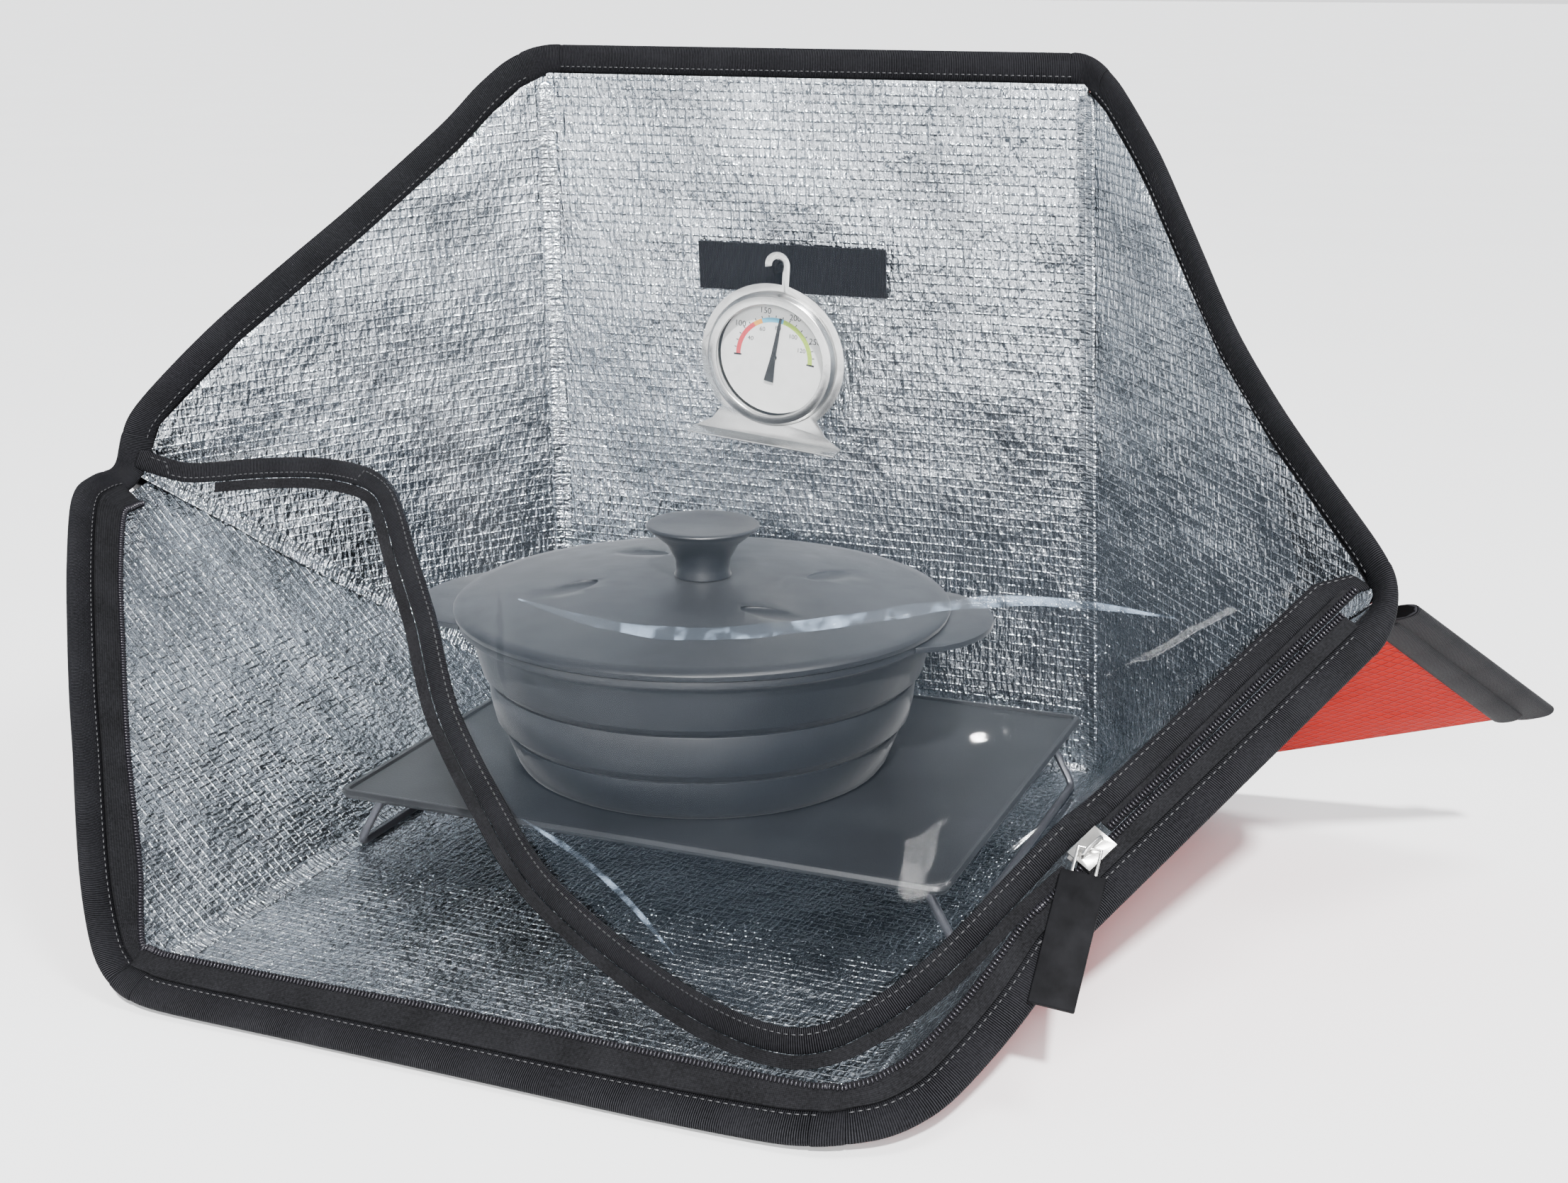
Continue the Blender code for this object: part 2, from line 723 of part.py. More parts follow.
def make_back():
    low_left, low_right = floor_corner(-1), floor_corner(1)
    high_left, high_right = top_corner(-1), top_corner(1)
    drop = BACK_UP * 0.0006
    loop = [low_left, high_left - drop, high_right - drop, low_right]
    panel("back", loop, [CREASE_GAP, 0.0, CREASE_GAP, CREASE_GAP], BACK_NORMAL)
    rise = BACK_UP * (BINDING_WIDTH + FIT_GAP)
    count = 8
    room = ACROSS * 0.0012
    outer = [(high_right - room).lerp(high_left + room, step / count) - drop + rise
             for step in range(count + 1)]
    inner = [point - rise for point in outer]
    ribbon("top_binding", outer, inner, edge_section(), "binding")


def clear_of_pot(point):
    """Lift a point of the sheet off the lid, or push it out past the rim."""
    margin = 0.0085
    x, y = point.x - POT_X, point.y - POT_Y
    radius = math.hypot(x, y)
    turn = abs((math.atan2(y, x) - POT_GRIP_TURN + math.pi / 2) % math.pi - math.pi / 2)
    reach = LID_RADIUS if turn > math.radians(32) else POT_GRIP_REACH
    if radius > reach + margin:
        return point
    height = LID_EDGE + margin
    if radius < LID_RADIUS:
        height += lid_height(radius)
    if radius < KNOB_RADIUS + margin:
        height += KNOB_HEIGHT
    if point.z > height:
        return point
    if reach + margin - radius < height - point.z:
        stretch = (reach + margin) / radius
        return Vector((POT_X + x * stretch, POT_Y + y * stretch, point.z))
    return Vector((point.x, point.y, height))


def window_rows(columns, rows):
    """Clear sheet from the top rim down to the free edge, slumped over the pot.

    It is a patch between four border lines, with the main folds added on top.
    """
    def border(side):
        lift = upper_normal(side) * 0.0010
        _, line = slope_lines(side, 0.0150)
        top = top_corner(side) + BACK_NORMAL * 0.0008 - BACK_UP * 0.0015 - ACROSS * side * 0.004
        return [point + lift for point in line[:-2]] + [top]

    left = list(reversed(border(-1)))[:-1]
    right = list(reversed(border(1)))
    along, across, _ = zip_frame()
    zip_inner = [SLIDER_POINT + along * (ZIP_CLOSED_LENGTH - 0.012) * (5 - step) / 5
                 + across * 0.0175 for step in range(6)]
    right = right[:-2] + zip_inner
    left[-1] = shell_point(-0.2780, 0.0120, 0.1720)
    bottom = [point + edge_side * (FLAP_BINDING_WIDTH / 2 + FIT_GAP * 5)
              for point, edge_side in free_edge_frame(2)]
    bottom = bottom[2:]

    def along_line(line, t):
        lengths = [0.0]
        for first, second in zip(line, line[1:]):
            lengths.append(lengths[-1] + (second - first).length)
        want = t * lengths[-1]
        for index in range(len(line) - 1):
            if want <= lengths[index + 1] or index == len(line) - 2:
                span = lengths[index + 1] - lengths[index]
                return line[index].lerp(line[index + 1], (want - lengths[index]) / span)
        return line[-1]

    top_left, top_right = left[0], right[0]
    grid = []
    for row in range(rows + 1):
        v = row / rows
        line = []
        for column in range(columns + 1):
            u = column / columns
            edge_left, edge_right = along_line(left, v), along_line(right, v)
            edge_top, edge_bottom = top_left.lerp(top_right, u), along_line(bottom, u)
            blend = (edge_left * (1 - u) + edge_right * u + edge_top * (1 - v) + edge_bottom * v
                     - top_left * (1 - u) * (1 - v) - top_right * u * (1 - v)
                     - bottom[0] * (1 - u) * v - bottom[-1] * u * v)
            inside = math.sin(math.pi * u) * math.sin(math.pi * v)
            over_pot = math.exp(-((v - 0.72) / 0.17) ** 2) * math.sin(math.pi * u) ** 0.8
            sag = Vector((0, 0.45, -0.9)) * 0.020 * inside * math.exp(-((v - 0.35) / 0.25) ** 2)
            ridge = Vector((-0.05, -0.50, 0.86)) * 0.052 * over_pot * min(1.0, 8 * (1 - v))
            folds = Vector((0, -0.6, 0.8)) * 0.0035 * math.sin(7.5 * math.pi * u + 5 * v) * inside
            line.append(clear_of_pot(blend + sag + ridge + folds))
        grid.append(line)
    return grid


def free_edge_frame(per_span):
    """Centre points of the free edge with the direction towards the sheet."""
    line = smooth_line(shell_line(FREE_EDGE), per_span)
    frame = []
    for point, along in zip(line, tangents(line)):
        normal = VIEW_SIDE - along * VIEW_SIDE.dot(along)
        normal.normalize()
        frame.append((point, normal.cross(along).normalized()))
    return frame


def make_window():
    grid = window_rows(22, 22)
    work = bmesh.new()
    points = [[work.verts.new(point) for point in line] for line in grid]
    for row in range(len(points) - 1):
        for column in range(len(points[0]) - 1):
            work.faces.new((points[row][column], points[row + 1][column],
                            points[row + 1][column + 1], points[row][column + 1]))
    mesh = bpy.data.meshes.new("window_sheet")
    work.to_mesh(mesh)
    work.free()
    sheet = add_part("window_sheet", mesh, "window")
    wall = sheet.modifiers.new("thickness", "SOLIDIFY")
    wall.thickness = WINDOW_THICK
    wall.offset = 0.0
    frame = free_edge_frame(2)
    outer = [point - side * FLAP_BINDING_WIDTH / 2 for point, side in frame]
    inner = [point + side * FLAP_BINDING_WIDTH / 2 for point, side in frame]
    section = rounded_section(FLAP_BINDING_WIDTH, FLAP_BINDING_THICK, FLAP_BINDING_THICK / 4)
    ribbon("window_binding", outer, inner, section, "binding")
    coil = [point - side * (FLAP_BINDING_WIDTH / 2 + 0.0052) for point, side in frame]
    thin = TAPE_THICK / 2
    fat = COIL_THICK / 2
    shape = [(0.0, -fat), (0.0028, -fat), (0.0028, -thin), (0.0049, -thin),
             (0.0049, thin), (0.0028, thin), (0.0028, fat), (0.0, fat)]
    ribbon("window_zip", coil[3:-4], inner[3:-4], shape, "zip")


def make_closed_zip():
    """Window side of the zip between the slider and the right notch."""
    along, across, normal = zip_frame()
    start = SLIDER_POINT + along * (SLIDER_LENGTH / 2 + 0.004)
    end = SLIDER_POINT + along * (ZIP_CLOSED_LENGTH - 0.009)
    count = 4
    base = [start.lerp(end, step / count) for step in range(count + 1)]
    coil = [point + across * 0.0006 for point in base]
    inner = [point + across * 0.03 for point in base]
    low, tape, fat = ZIP_LOW, ZIP_LOW + TAPE_THICK, ZIP_LOW + COIL_THICK
    shape = [(0.0, low), (0.0052, low), (0.0052, tape), (COIL_WIDTH, tape),
             (COIL_WIDTH, fat), (0.0, fat)]
    ribbon("closed_zip", coil, inner, shape, "zip")
    edge = [point + across * 0.0062 for point in base]
    section = rounded_section(FLAP_BINDING_WIDTH, FLAP_BINDING_THICK, FLAP_BINDING_THICK / 4)
    ribbon("closed_binding", edge, inner, section, "binding")


def oriented(part, origin, x_axis, y_axis, z_axis):
    """Move a part built in local axes to its place in the world, in its mesh."""
    turn = Matrix((x_axis, y_axis, z_axis)).transposed().to_4x4()
    part.data.transform(Matrix.Translation(origin) @ turn)
    return part


def slab(name, x, y, z, paint):
    return box(name, (x[0], y[0], z[0]), (x[1], y[1], z[1]), paint)


# Levels of the slider above the line of the zip
PLATE = 0.0009
SLIDER_UNDER = ZIP_LOW - 0.0010
SLIDER_OVER = ZIP_LOW + COIL_THICK + 0.0005
SLIDER_TOP = SLIDER_OVER + PLATE
LINK_RADIUS = 0.0007
LINK_HEIGHT = SLIDER_TOP + 0.0018


def make_slider():
    """Slider: two plates with side lips, a nose between the tapes and a bridge on top."""
    along, across, normal = zip_frame()
    half = SLIDER_LENGTH / 2
    wide = SLIDER_WIDTH / 2
    lip = 0.0007
    lip_low = ZIP_LOW + TAPE_THICK + 0.0004
    low, high = SLIDER_UNDER - PLATE / 2, SLIDER_OVER + PLATE / 2
    body = slab("zip_slider", (-wide, wide), (-half, half), (SLIDER_OVER, SLIDER_TOP), "nickel")
    pieces = [
        slab("slider_base", (-wide, wide), (-half, half), (SLIDER_UNDER - PLATE, SLIDER_UNDER),
             "nickel"),
        slab("slider_nose", (-0.0024, -0.0004), (-half, -half + 0.0050), (low, high), "nickel"),
        slab("slider_lip", (-wide, -wide + lip), (-half, half), (lip_low, high), "nickel"),
        slab("slider_lip_in", (wide - lip, wide), (-half, half), (lip_low, high), "nickel"),
        wire("slider_bridge", [(0, -half * 0.72, high), (0, -half * 0.62, SLIDER_TOP + 0.0024),
                               (0, -half * 0.30, SLIDER_TOP + 0.0036),
                               (0, half * 0.30, SLIDER_TOP + 0.0036),
                               (0, half * 0.62, SLIDER_TOP + 0.0024),
                               (0, half * 0.72, high)], 0.0008, "nickel"),
    ]
    for piece in pieces:
        body = join(body, piece, "nickel")
    oriented(body, SLIDER_POINT, -across, along, normal)
    return body


def tab_frame():
    """Axis of the puller with its side, hanging and facing directions."""
    along, across, normal = zip_frame()
    axis = SLIDER_POINT - along * 0.0012 + normal * LINK_HEIGHT
    hang = (along * -0.866 - across * 0.49 - normal * 0.07).normalized()
    facing = (normal - hang * normal.dot(hang)).normalized()
    return axis, hang.cross(facing).normalized(), hang, facing


def make_pull_tab():
    """Nickel link through the bridge, and the rubber tab moulded round its far end."""
    frame = tab_frame()
    reach = 0.0130
    wide = 0.0044
    loop = [(-wide, 0, 0), (-wide, reach - 0.001, 0), (-wide + 0.001, reach, 0),
            (wide - 0.001, reach, 0), (wide, reach - 0.001, 0), (wide, 0, 0)]
    ring = wire("puller", loop, LINK_RADIUS, "nickel", closed=True)
    groove = wire("puller_groove", loop, LINK_RADIUS + FIT_GAP, "nickel", closed=True,
                  home=CUTTERS)
    start = reach - 0.0026
    tab = box("pull_tab", (-TAB_WIDTH / 2, start, -TAB_THICK / 2),
              (TAB_WIDTH / 2, start + TAB_LENGTH, TAB_THICK / 2), "rubber", 0.0006)
    tab = cut(tab, groove, "rubber")
    oriented(ring, *frame)
    oriented(groove, *frame)
    oriented(tab, *frame)
    return frame[0]


def make_label():
    wall = wall_frame()
    strip = box("label_strip", (-LABEL_LENGTH / 2 + 0.0025, -LABEL_HEIGHT / 2 - 0.0044,
                                FIT_GAP),
                (LABEL_LENGTH / 2 + 0.0025, LABEL_HEIGHT / 2 - 0.0044, FIT_GAP + 0.0010),
                "binding")
    oriented(strip, *wall)
    deep = GAUGE_STANDOFF + 0.0042
    radius = 0.0012
    rise = FIT_GAP + 0.0010 + FIT_GAP
    high, low = 0.0014, -0.0038
    loop = [(0, high, rise), (0, high, deep - 0.001), (0, high - 0.001, deep),
            (0, low + 0.001, deep), (0, low, deep - 0.001), (0, low, rise)]
    cord = wire("hang_loop", loop, radius, "binding")
    oriented(cord, *wall)


def wall_frame():
    """Origin on the back foil at the gauge hook, with X right, Y up the wall, Z outwards."""
    drop = (GAUGE_Z - FLOOR_TOP) * math.tan(BACK_LEAN)
    origin = Vector((GAUGE_X, BACK_Y - drop, GAUGE_Z))
    return origin, Vector((1, 0, 0)), BACK_UP, BACK_NORMAL


def gauge_frame():
    origin, right, up, out = wall_frame()
    turn = Matrix.Rotation(-GAUGE_TILT, 3, out)
    return origin, turn @ right, turn @ up, out


def gauge_outline():
    """Stamped plate: hook, neck, ring and flared foot, with the hole for the case."""
    ring = (0.0, -GAUGE_DROP)
    hook_out, hook_in = 0.0066, 0.0030
    neck_right = math.degrees(math.acos(hook_out / GAUGE_RADIUS))
    neck_left = math.degrees(math.acos(hook_in / GAUGE_RADIUS))
    foot = -GAUGE_DROP - 0.0415
    half = FOOT_WIDTH / 2
    outline = arc((0, 0), hook_out, 195, 0, 12)
    outline += arc(ring, GAUGE_RADIUS, neck_right, -48, 16)
    outline += [(0.0310, foot + 0.0052), (half, foot), (-half, foot), (-0.0310, foot + 0.0052)]
    outline += arc(ring, GAUGE_RADIUS, -132, -360 + neck_left, 24)
    outline += arc((0, 0), hook_in, 0, 195, 8)
    hole = arc(ring, CASE_RADIUS + FIT_GAP, 0, 360 - 360 / 40, 39)
    return outline, hole, foot


def make_gauge():
    outline, hole, foot = gauge_outline()
    plate_low = GAUGE_STANDOFF
    stand = flat_plate("gauge_stand", [outline, hole], GAUGE_SHEET, "steel")
    stand.data.transform(Matrix.Translation((0, 0, plate_low + GAUGE_SHEET / 2)))
    shelf = box("gauge_shelf", (-FOOT_WIDTH / 2 + 0.0002, foot - 0.0006, plate_low + 0.0002),
                (FOOT_WIDTH / 2 - 0.0002, foot + 0.0002, plate_low + 0.0120), "steel")
    stand = join(stand, shelf, "steel")
    frame = gauge_frame()
    oriented(stand, *frame)
    front = plate_low + GAUGE_SHEET
    centre = Matrix.Translation((0, -GAUGE_DROP, 0))

    def place(part, paint):
        part = bake(part, paint)
        part.data.transform(centre)
        smooth_faces(part)
        return oriented(part, *frame)

    back, lip = 0.0014, front + 0.0016
    inner = CASE_RADIUS - 0.0008
    place(turned("gauge_case", [(0.0, lip - 0.0120 + 0.0), (inner, lip - 0.0120), (inner, lip),
                                (CASE_RADIUS, lip), (CASE_RADIUS, back), (0.0, back)][1:]
                 + [(0.0018, back), (0.0018, lip - 0.0120)], "steel"), "steel")
    bezel_back = front + FIT_GAP
    bezel = [(0.0346, bezel_back + 0.0014), (0.0346, bezel_back), (0.0318, bezel_back),
             (0.0318, bezel_back + 0.0032), (0.0284, bezel_back + 0.0036),
             (0.0288, bezel_back + 0.0044), (0.0330, bezel_back + 0.0038)]
    place(turned("gauge_bezel", list(reversed(bezel)), "steel"), "steel")
    lens_back = lip + FIT_GAP
    place(turned("gauge_lens", [(0.0, lens_back + 0.0010), (0.0302, lens_back + 0.0010),
                                (0.0302, lens_back), (0.0, lens_back)], "lens",
                 closed=False), "lens")
    dial_back = lip - 0.0046
    place(turned("gauge_dial", [(0.0290, dial_back + 0.0005), (0.0290, dial_back),
                                (0.0016, dial_back), (0.0016, dial_back + 0.0005)], "dial"),
          "dial")
    coil_back = lip - 0.0117
    place(turned("gauge_spiral", [(0.0110, coil_back + 0.0048), (0.0110, coil_back),
                                  (0.0020, coil_back), (0.0020, coil_back + 0.0048)], "brass"),
          "brass")
    needle_low = dial_back + 0.0016
    needle = flat_plate("gauge_pointer", [[(-0.0006, 0.0212), (-0.0013, 0.0), (-0.0026, -0.0125),
                                          (0.0026, -0.0125), (0.0013, 0.0), (0.0006, 0.0212)]],
                        0.0004, "pointer")
    needle.data.transform(Matrix.Translation((0, 0, needle_low + 0.0002)))
    pin = turned("pointer_pin", [(0.0, needle_low + 0.0014), (0.0012, needle_low + 0.0014),
                                 (0.0012, coil_back + 0.0010), (0.0, coil_back + 0.0010)],
                 "pointer", closed=False, steps=16)
    pin = bake(pin, "pointer")
    needle = join(needle, pin, "pointer")
    needle.data.transform(Matrix.Rotation(math.radians(-8.0), 4, "Z"))
    needle.data.transform(centre)
    oriented(needle, *frame)
    return frame


def make_tray():
    half_x, half_y = TRAY_WIDTH / 2, TRAY_DEPTH / 2
    plate_low = PLATE_TOP - TRAY_SHEET
    corner = 0.006
    inner = []
    for x, y, start in ((1, 1, 0), (-1, 1, 90), (-1, -1, 180), (1, -1, 270)):
        centre = (TRAY_X + x * (half_x - corner), TRAY_Y + y * (half_y - corner))
        inner += arc(centre, corner - TRAY_RIM, start, start + 90, 3)
    plate = flat_plate("tray_pan", [inner], TRAY_SHEET, "tray")
    plate.data.transform(Matrix.Translation((0, 0, plate_low + TRAY_SHEET / 2)))
    rim_z = TRAY_TOP - TRAY_RIM
    rim = wire("tray_rim", [(x, y, rim_z) for x, y in inner], TRAY_RIM, "tray", 1, closed=True)
    pan = join(plate, rim, "tray")
    wire_radius = LEG_WIRE / 2
    foot_z = FLOOR_TOP + FIT_GAP + wire_radius
    head_z = plate_low - FIT_GAP * 2 - wire_radius
    reach_y = 0.1000
    lugs = []
    for side, word in ((-1, "left"), (1, "right")):
        head = TRAY_X + side * 0.1310
        tail = head - side * 0.014
        foot = head + side * LEG_SPLAY
        y0, y1 = TRAY_Y - reach_y, TRAY_Y + reach_y
        ease = 0.004
        path = []
        for y, turn in ((y0, 1), (y1, -1)):
            part = [(tail, y, head_z), (head - side * ease, y, head_z),
                    (head - side * ease * 0.3, y, head_z - ease * 0.3),
                    (head + side * ease * 0.35, y, head_z - ease),
                    (foot - side * ease * 0.4, y, foot_z + ease),
                    (foot - side * 0.0002, y + turn * ease * 0.3, foot_z + ease * 0.3),
                    (foot, y + turn * ease, foot_z)]
            path += part if turn > 0 else list(reversed(part))
        wire("tray_leg_" + word, path, wire_radius, "wire")
        for y in (y0, y1):
            lugs.append(((head + tail) / 2 - side * 0.001, y))
    for index, (x, y) in enumerate(lugs):
        block = box("lug_%d" % index, (x - 0.0035, y - 0.0040, head_z - wire_radius - 0.0012),
                    (x + 0.0035, y + 0.0040, plate_low + TRAY_SHEET / 2), "tray")
        bpy.ops.mesh.primitive_cylinder_add(vertices=16, radius=wire_radius + FIT_GAP,
                                            depth=0.012, location=(x, y, head_z),
                                            rotation=(0, math.pi / 2, 0))
        drill = bpy.context.object
        drill.name = "lug_drill_%d" % index
        for home in list(drill.users_collection):
            home.objects.unlink(drill)
        CUTTERS.objects.link(drill)
        pan = join(pan, cut(block, drill, "tray"), "tray")


def pot_wall(band):
    """Bottom and top of a band of the pot as (outer radius, height)."""
    return [(POT_BASE_RADIUS + growth, POT_FLOOR + share * POT_HEIGHT) for share, growth in band]


def turned_band(name, band, inset, thick, bulge):
    """Closed ring wall of one band, outer side from top to bottom."""
    (r_low, low), (r_high, high) = pot_wall(band)
    r_low, r_high = r_low - inset, r_high - inset
    r_mid, middle = (r_high + r_low) / 2 + bulge, (low + high) / 2
    turned(name, [(r_high, high), (r_mid, middle), (r_low, low), (r_low - thick, low),
                  (r_mid - thick, middle), (r_high - thick, high)],
           "silicone", (POT_X, POT_Y, 0), 56)


def between(lower, upper):
    """Short band between the top of one wall and the bottom of the next, a little clear."""
    clear = FIT_GAP / POT_HEIGHT
    return ((lower[1][0] + clear, lower[1][1]), (upper[0][0] - clear, upper[0][1]))


def make_pot():
    centre = (POT_X, POT_Y, 0)
    (r_floor, floor), (r_top, top) = pot_wall(POT_CUP)
    turned("pot_base", [(r_top, top), (r_floor + 0.002, floor + 0.004),
                        (r_floor, floor + 0.0012), (r_floor - 0.002, floor), (0.0, floor),
                        (0.0, floor + 0.0026), (r_floor - 0.0015, floor + 0.0026),
                        (r_top - POT_WALL, top)], "silicone", centre, 56)
    turned_band("pot_band", POT_MIDDLE, 0.0, POT_WALL, 0.0006)
    turned_band("pot_web_lower", between(POT_CUP, POT_MIDDLE), 0.0012, 0.0009, 0.0)
    turned_band("pot_web_upper", between(POT_MIDDLE, POT_UPPER), 0.0012, 0.0009, 0.0)
    (r_low, low), (r_neck, neck_z) = pot_wall(POT_UPPER)
    neck = neck_z - POT_FLOOR
    profile = [(POT_RIM_RADIUS, POT_TOP), (POT_RIM_RADIUS, neck_z + 0.0015),
               (r_neck + 0.0008, neck_z - 0.0010), (r_neck, neck_z - 0.0030), (r_low, low),
               (r_low - POT_WALL, low), (r_neck - POT_WALL, neck_z - 0.0030),
               (r_neck - POT_WALL + 0.0010, POT_TOP)]
    rim = turned("pot_rim", profile, "silicone", centre, 56)
    rim = bake(rim, "silicone")
    grip_low = neck + 0.0017
    grip_thick = POT_HEIGHT - 0.0003 - grip_low
    half = math.radians(24)
    outline = []
    inner = POT_RIM_RADIUS - 0.0030
    for step in range(7):
        angle = -half + 2 * half * step / 6
        outline.append((inner * math.cos(angle), inner * math.sin(angle)))
    tip = []
    for step in range(13):
        angle = -half * 1.02 + 2.04 * half * step / 12
        swell = (POT_GRIP_REACH - inner) * math.cos(angle / half / 1.04 * math.pi / 2) ** 0.55
        radius = inner + max(0.0024, swell)
        tip.append((radius * math.cos(angle), radius * math.sin(angle)))
    outline += list(reversed(tip))
    for turn in (POT_GRIP_TURN, POT_GRIP_TURN + math.pi):
        grip = flat_plate("pot_grip", [outline], grip_thick, "silicone")
        grip.data.transform(Matrix.Translation((POT_X, POT_Y, POT_FLOOR + grip_low
                                                + grip_thick / 2))
                            @ Matrix.Rotation(turn, 4, "Z"))
        rim = join(rim, grip, "silicone")
    smooth_faces(rim)


def lid_height(radius):
    """Height of the lid's crown above its edge."""
    t = min(1.0, radius / (LID_RADIUS - 0.007))
    return 0.0050 + (LID_RISE - 0.0050) * math.cos(t * math.pi / 2) ** 0.85


def make_lid():
    centre = (POT_X, POT_Y, 0)
    bore = 0.0034
    crown = []
    for step in range(9):
        radius = bore + (LID_RADIUS - 0.007 - bore) * step / 8
        crown.append((radius, LID_EDGE + lid_height(radius)))
    top = crown + [(LID_RADIUS - 0.0015, LID_EDGE + 0.0044), (LID_RADIUS, LID_EDGE + 0.0028),
                   (LID_RADIUS - 0.0006, LID_EDGE + 0.0006), (LID_RADIUS - 0.0020, LID_EDGE)]
    under = [(LID_RADIUS - 0.0060, LID_EDGE), (LID_RADIUS - 0.0080, LID_EDGE + 0.0016)]
    for step in range(8, -1, -1):
        radius = bore + (LID_RADIUS - 0.012 - bore) * step / 8
        under.append((radius, LID_EDGE + lid_height(radius) - LID_THICK))
    lid = turned("lid", top + under, "silicone", centre, 56)
    lid = bake(lid, "silicone")
    recesses = None
    for angle in (35, 145, 215, 325):
        bpy.ops.mesh.primitive_uv_sphere_add(segments=16, ring_count=8, radius=1.0)
        leaf = bpy.context.object
        leaf.name = "leaf_cutter_%d" % angle
        turn = math.radians(angle)
        reach = 0.066
        z = LID_EDGE + lid_height(reach) + 0.0009
        place = Matrix.Translation((POT_X + reach * math.cos(turn), POT_Y + reach * math.sin(turn),
                                    z)) @ Matrix.Rotation(turn + 0.5, 4, "Z")
        leaf.data.transform(place @ Matrix.Diagonal((0.021, 0.0075, 0.0022, 1.0)))
        for home in list(leaf.users_collection):
            home.objects.unlink(leaf)
        CUTTERS.objects.link(leaf)
        lid = cut(lid, leaf, "silicone")
    smooth_faces(lid)
    seat = LID_EDGE + lid_height(bore) + FIT_GAP
    top_z = seat + KNOB_HEIGHT
    hole = 0.0030
    depth = 0.014
    knob = [(0.0, top_z - 0.0012), (KNOB_RADIUS * 0.7, top_z - 0.0008), (KNOB_RADIUS - 0.001, top_z),
            (KNOB_RADIUS, top_z - 0.0012), (KNOB_RADIUS - 0.003, top_z - 0.0036),
            (KNOB_NECK + 0.0045, top_z - 0.0095), (KNOB_NECK + 0.0008, top_z - 0.0165),
            (KNOB_NECK + 0.0002, seat + 0.003), (KNOB_NECK + 0.0012, seat), (hole, seat),
            (hole, seat + depth), (0.0, seat + depth)]
    smooth_faces(bake(turned("lid_knob", knob, "silicone", centre, 32, closed=False),
                      "silicone"))
    head_top = LID_EDGE + lid_height(bore) - LID_THICK - FIT_GAP
    screw = [(0.0, seat + depth - 0.0010), (0.0026, seat + depth - 0.0010), (0.0026, head_top),
             (0.0058, head_top), (0.0052, head_top - 0.0022), (0.0, head_top - 0.0026)]
    smooth_faces(bake(turned("knob_screw", screw, "steel", centre, 20, closed=False), "steel"))


def centre_depth():
    """Move every part so that the origin is under the middle of the whole, and say how far."""
    bpy.context.view_layer.update()
    depths = [(part.matrix_world @ Vector(corner)).y
              for part in OVEN.objects for corner in part.bound_box]
    shift = Vector((0, -(min(depths) + max(depths)) / 2, 0))
    for part in list(OVEN.objects) + list(CUTTERS.objects):
        part.location += shift
    return shift


def set_axes(axes):
    """Parent each moving body's parts to an empty on its joint's axis."""
    shift = centre_depth()
    empties = {}
    for name, (place, parent, parts) in axes.items():
        empty = bpy.data.objects.new("axis_" + name, None)
        empty.empty_display_size = 0.02
        OVEN.objects.link(empty)
        empty.location = place + shift
        empties[name] = empty
    bpy.context.view_layer.update()
    for name, (place, parent, parts) in axes.items():
        if parent:
            empties[name].parent = empties[parent]
            empties[name].matrix_parent_inverse = empties[parent].matrix_world.inverted()
    bpy.context.view_layer.update()
    for name, (place, parent, parts) in axes.items():
        for part in parts:
            child = bpy.data.objects[part]
            child.parent = empties[name]
            child.matrix_parent_inverse = empties[name].matrix_world.inverted()


def panel_names(prefix):
    return [prefix + "_liner", prefix + "_core", prefix + "_cover"]


def build():
    make_floor()
    make_lower_side(-1, "left", shell_line(LEFT_OUTER), shell_line(LEFT_COIL))
    make_lower_side(1, "right", *right_lines())
    make_upper_side(-1, "left")
    make_upper_side(1, "right")
    make_gusset(-1, "left")
    make_gusset(1, "right")
    make_back()
    make_window()
    make_closed_zip()
    make_slider()
    tab_place = make_pull_tab()
    make_label()
    gauge = make_gauge()
    make_tray()
    make_pot()
    make_lid()
    dial_centre = gauge[0] - gauge[2] * GAUGE_DROP
    pot_place = Vector((POT_X, POT_Y, POT_FLOOR))
    lower = {}
    upper = {}
    for word in ("left", "right"):
        lower[word] = panel_names("lower_" + word) + [
            "lower_%s_binding" % word, "lower_%s_zip" % word, "gusset_" + word,
            "gusset_%s_binding" % word]
        upper[word] = panel_names("upper_" + word) + ["upper_%s_binding" % word]
    lower["right"] += ["closed_zip", "closed_binding"]
    set_axes({
        "reflector": (Vector((0, BACK_Y, FLOOR_TOP)), None, panel_names("back") + [
            "top_binding", "label_strip", "hang_loop", "window_sheet", "window_binding",
            "window_zip"]),
        "upper_left": (floor_corner(-1), "reflector", upper["left"]),
        "upper_right": (floor_corner(1), "reflector", upper["right"]),
        "lower_left": (floor_corner(-1), None, lower["left"]),
        "lower_right": (floor_corner(1), None, lower["right"]),
        "slider": (SLIDER_POINT, "lower_right", ["zip_slider"]),
        "pull_tab": (tab_place, "slider", ["puller", "pull_tab"]),
        "gauge": (gauge[0], "reflector", ["gauge_stand", "gauge_case", "gauge_bezel",
                                          "gauge_lens", "gauge_dial", "gauge_spiral"]),
        "pointer": (dial_centre, "gauge", ["gauge_pointer"]),
        "tray": (Vector((TRAY_X, TRAY_Y, PLATE_TOP)), None, [
            "tray_pan", "tray_leg_left", "tray_leg_right"]),
        "pot": (pot_place, "tray", ["pot_base", "pot_web_lower", "pot_web_upper"]),
        "pot_band": (pot_place, "pot", ["pot_band"]),
        "pot_rim": (pot_place, "pot", ["pot_rim"]),
        "lid": (Vector((POT_X, POT_Y, LID_EDGE)), "pot_rim", ["lid", "lid_knob", "knob_screw"]),
    })


build()
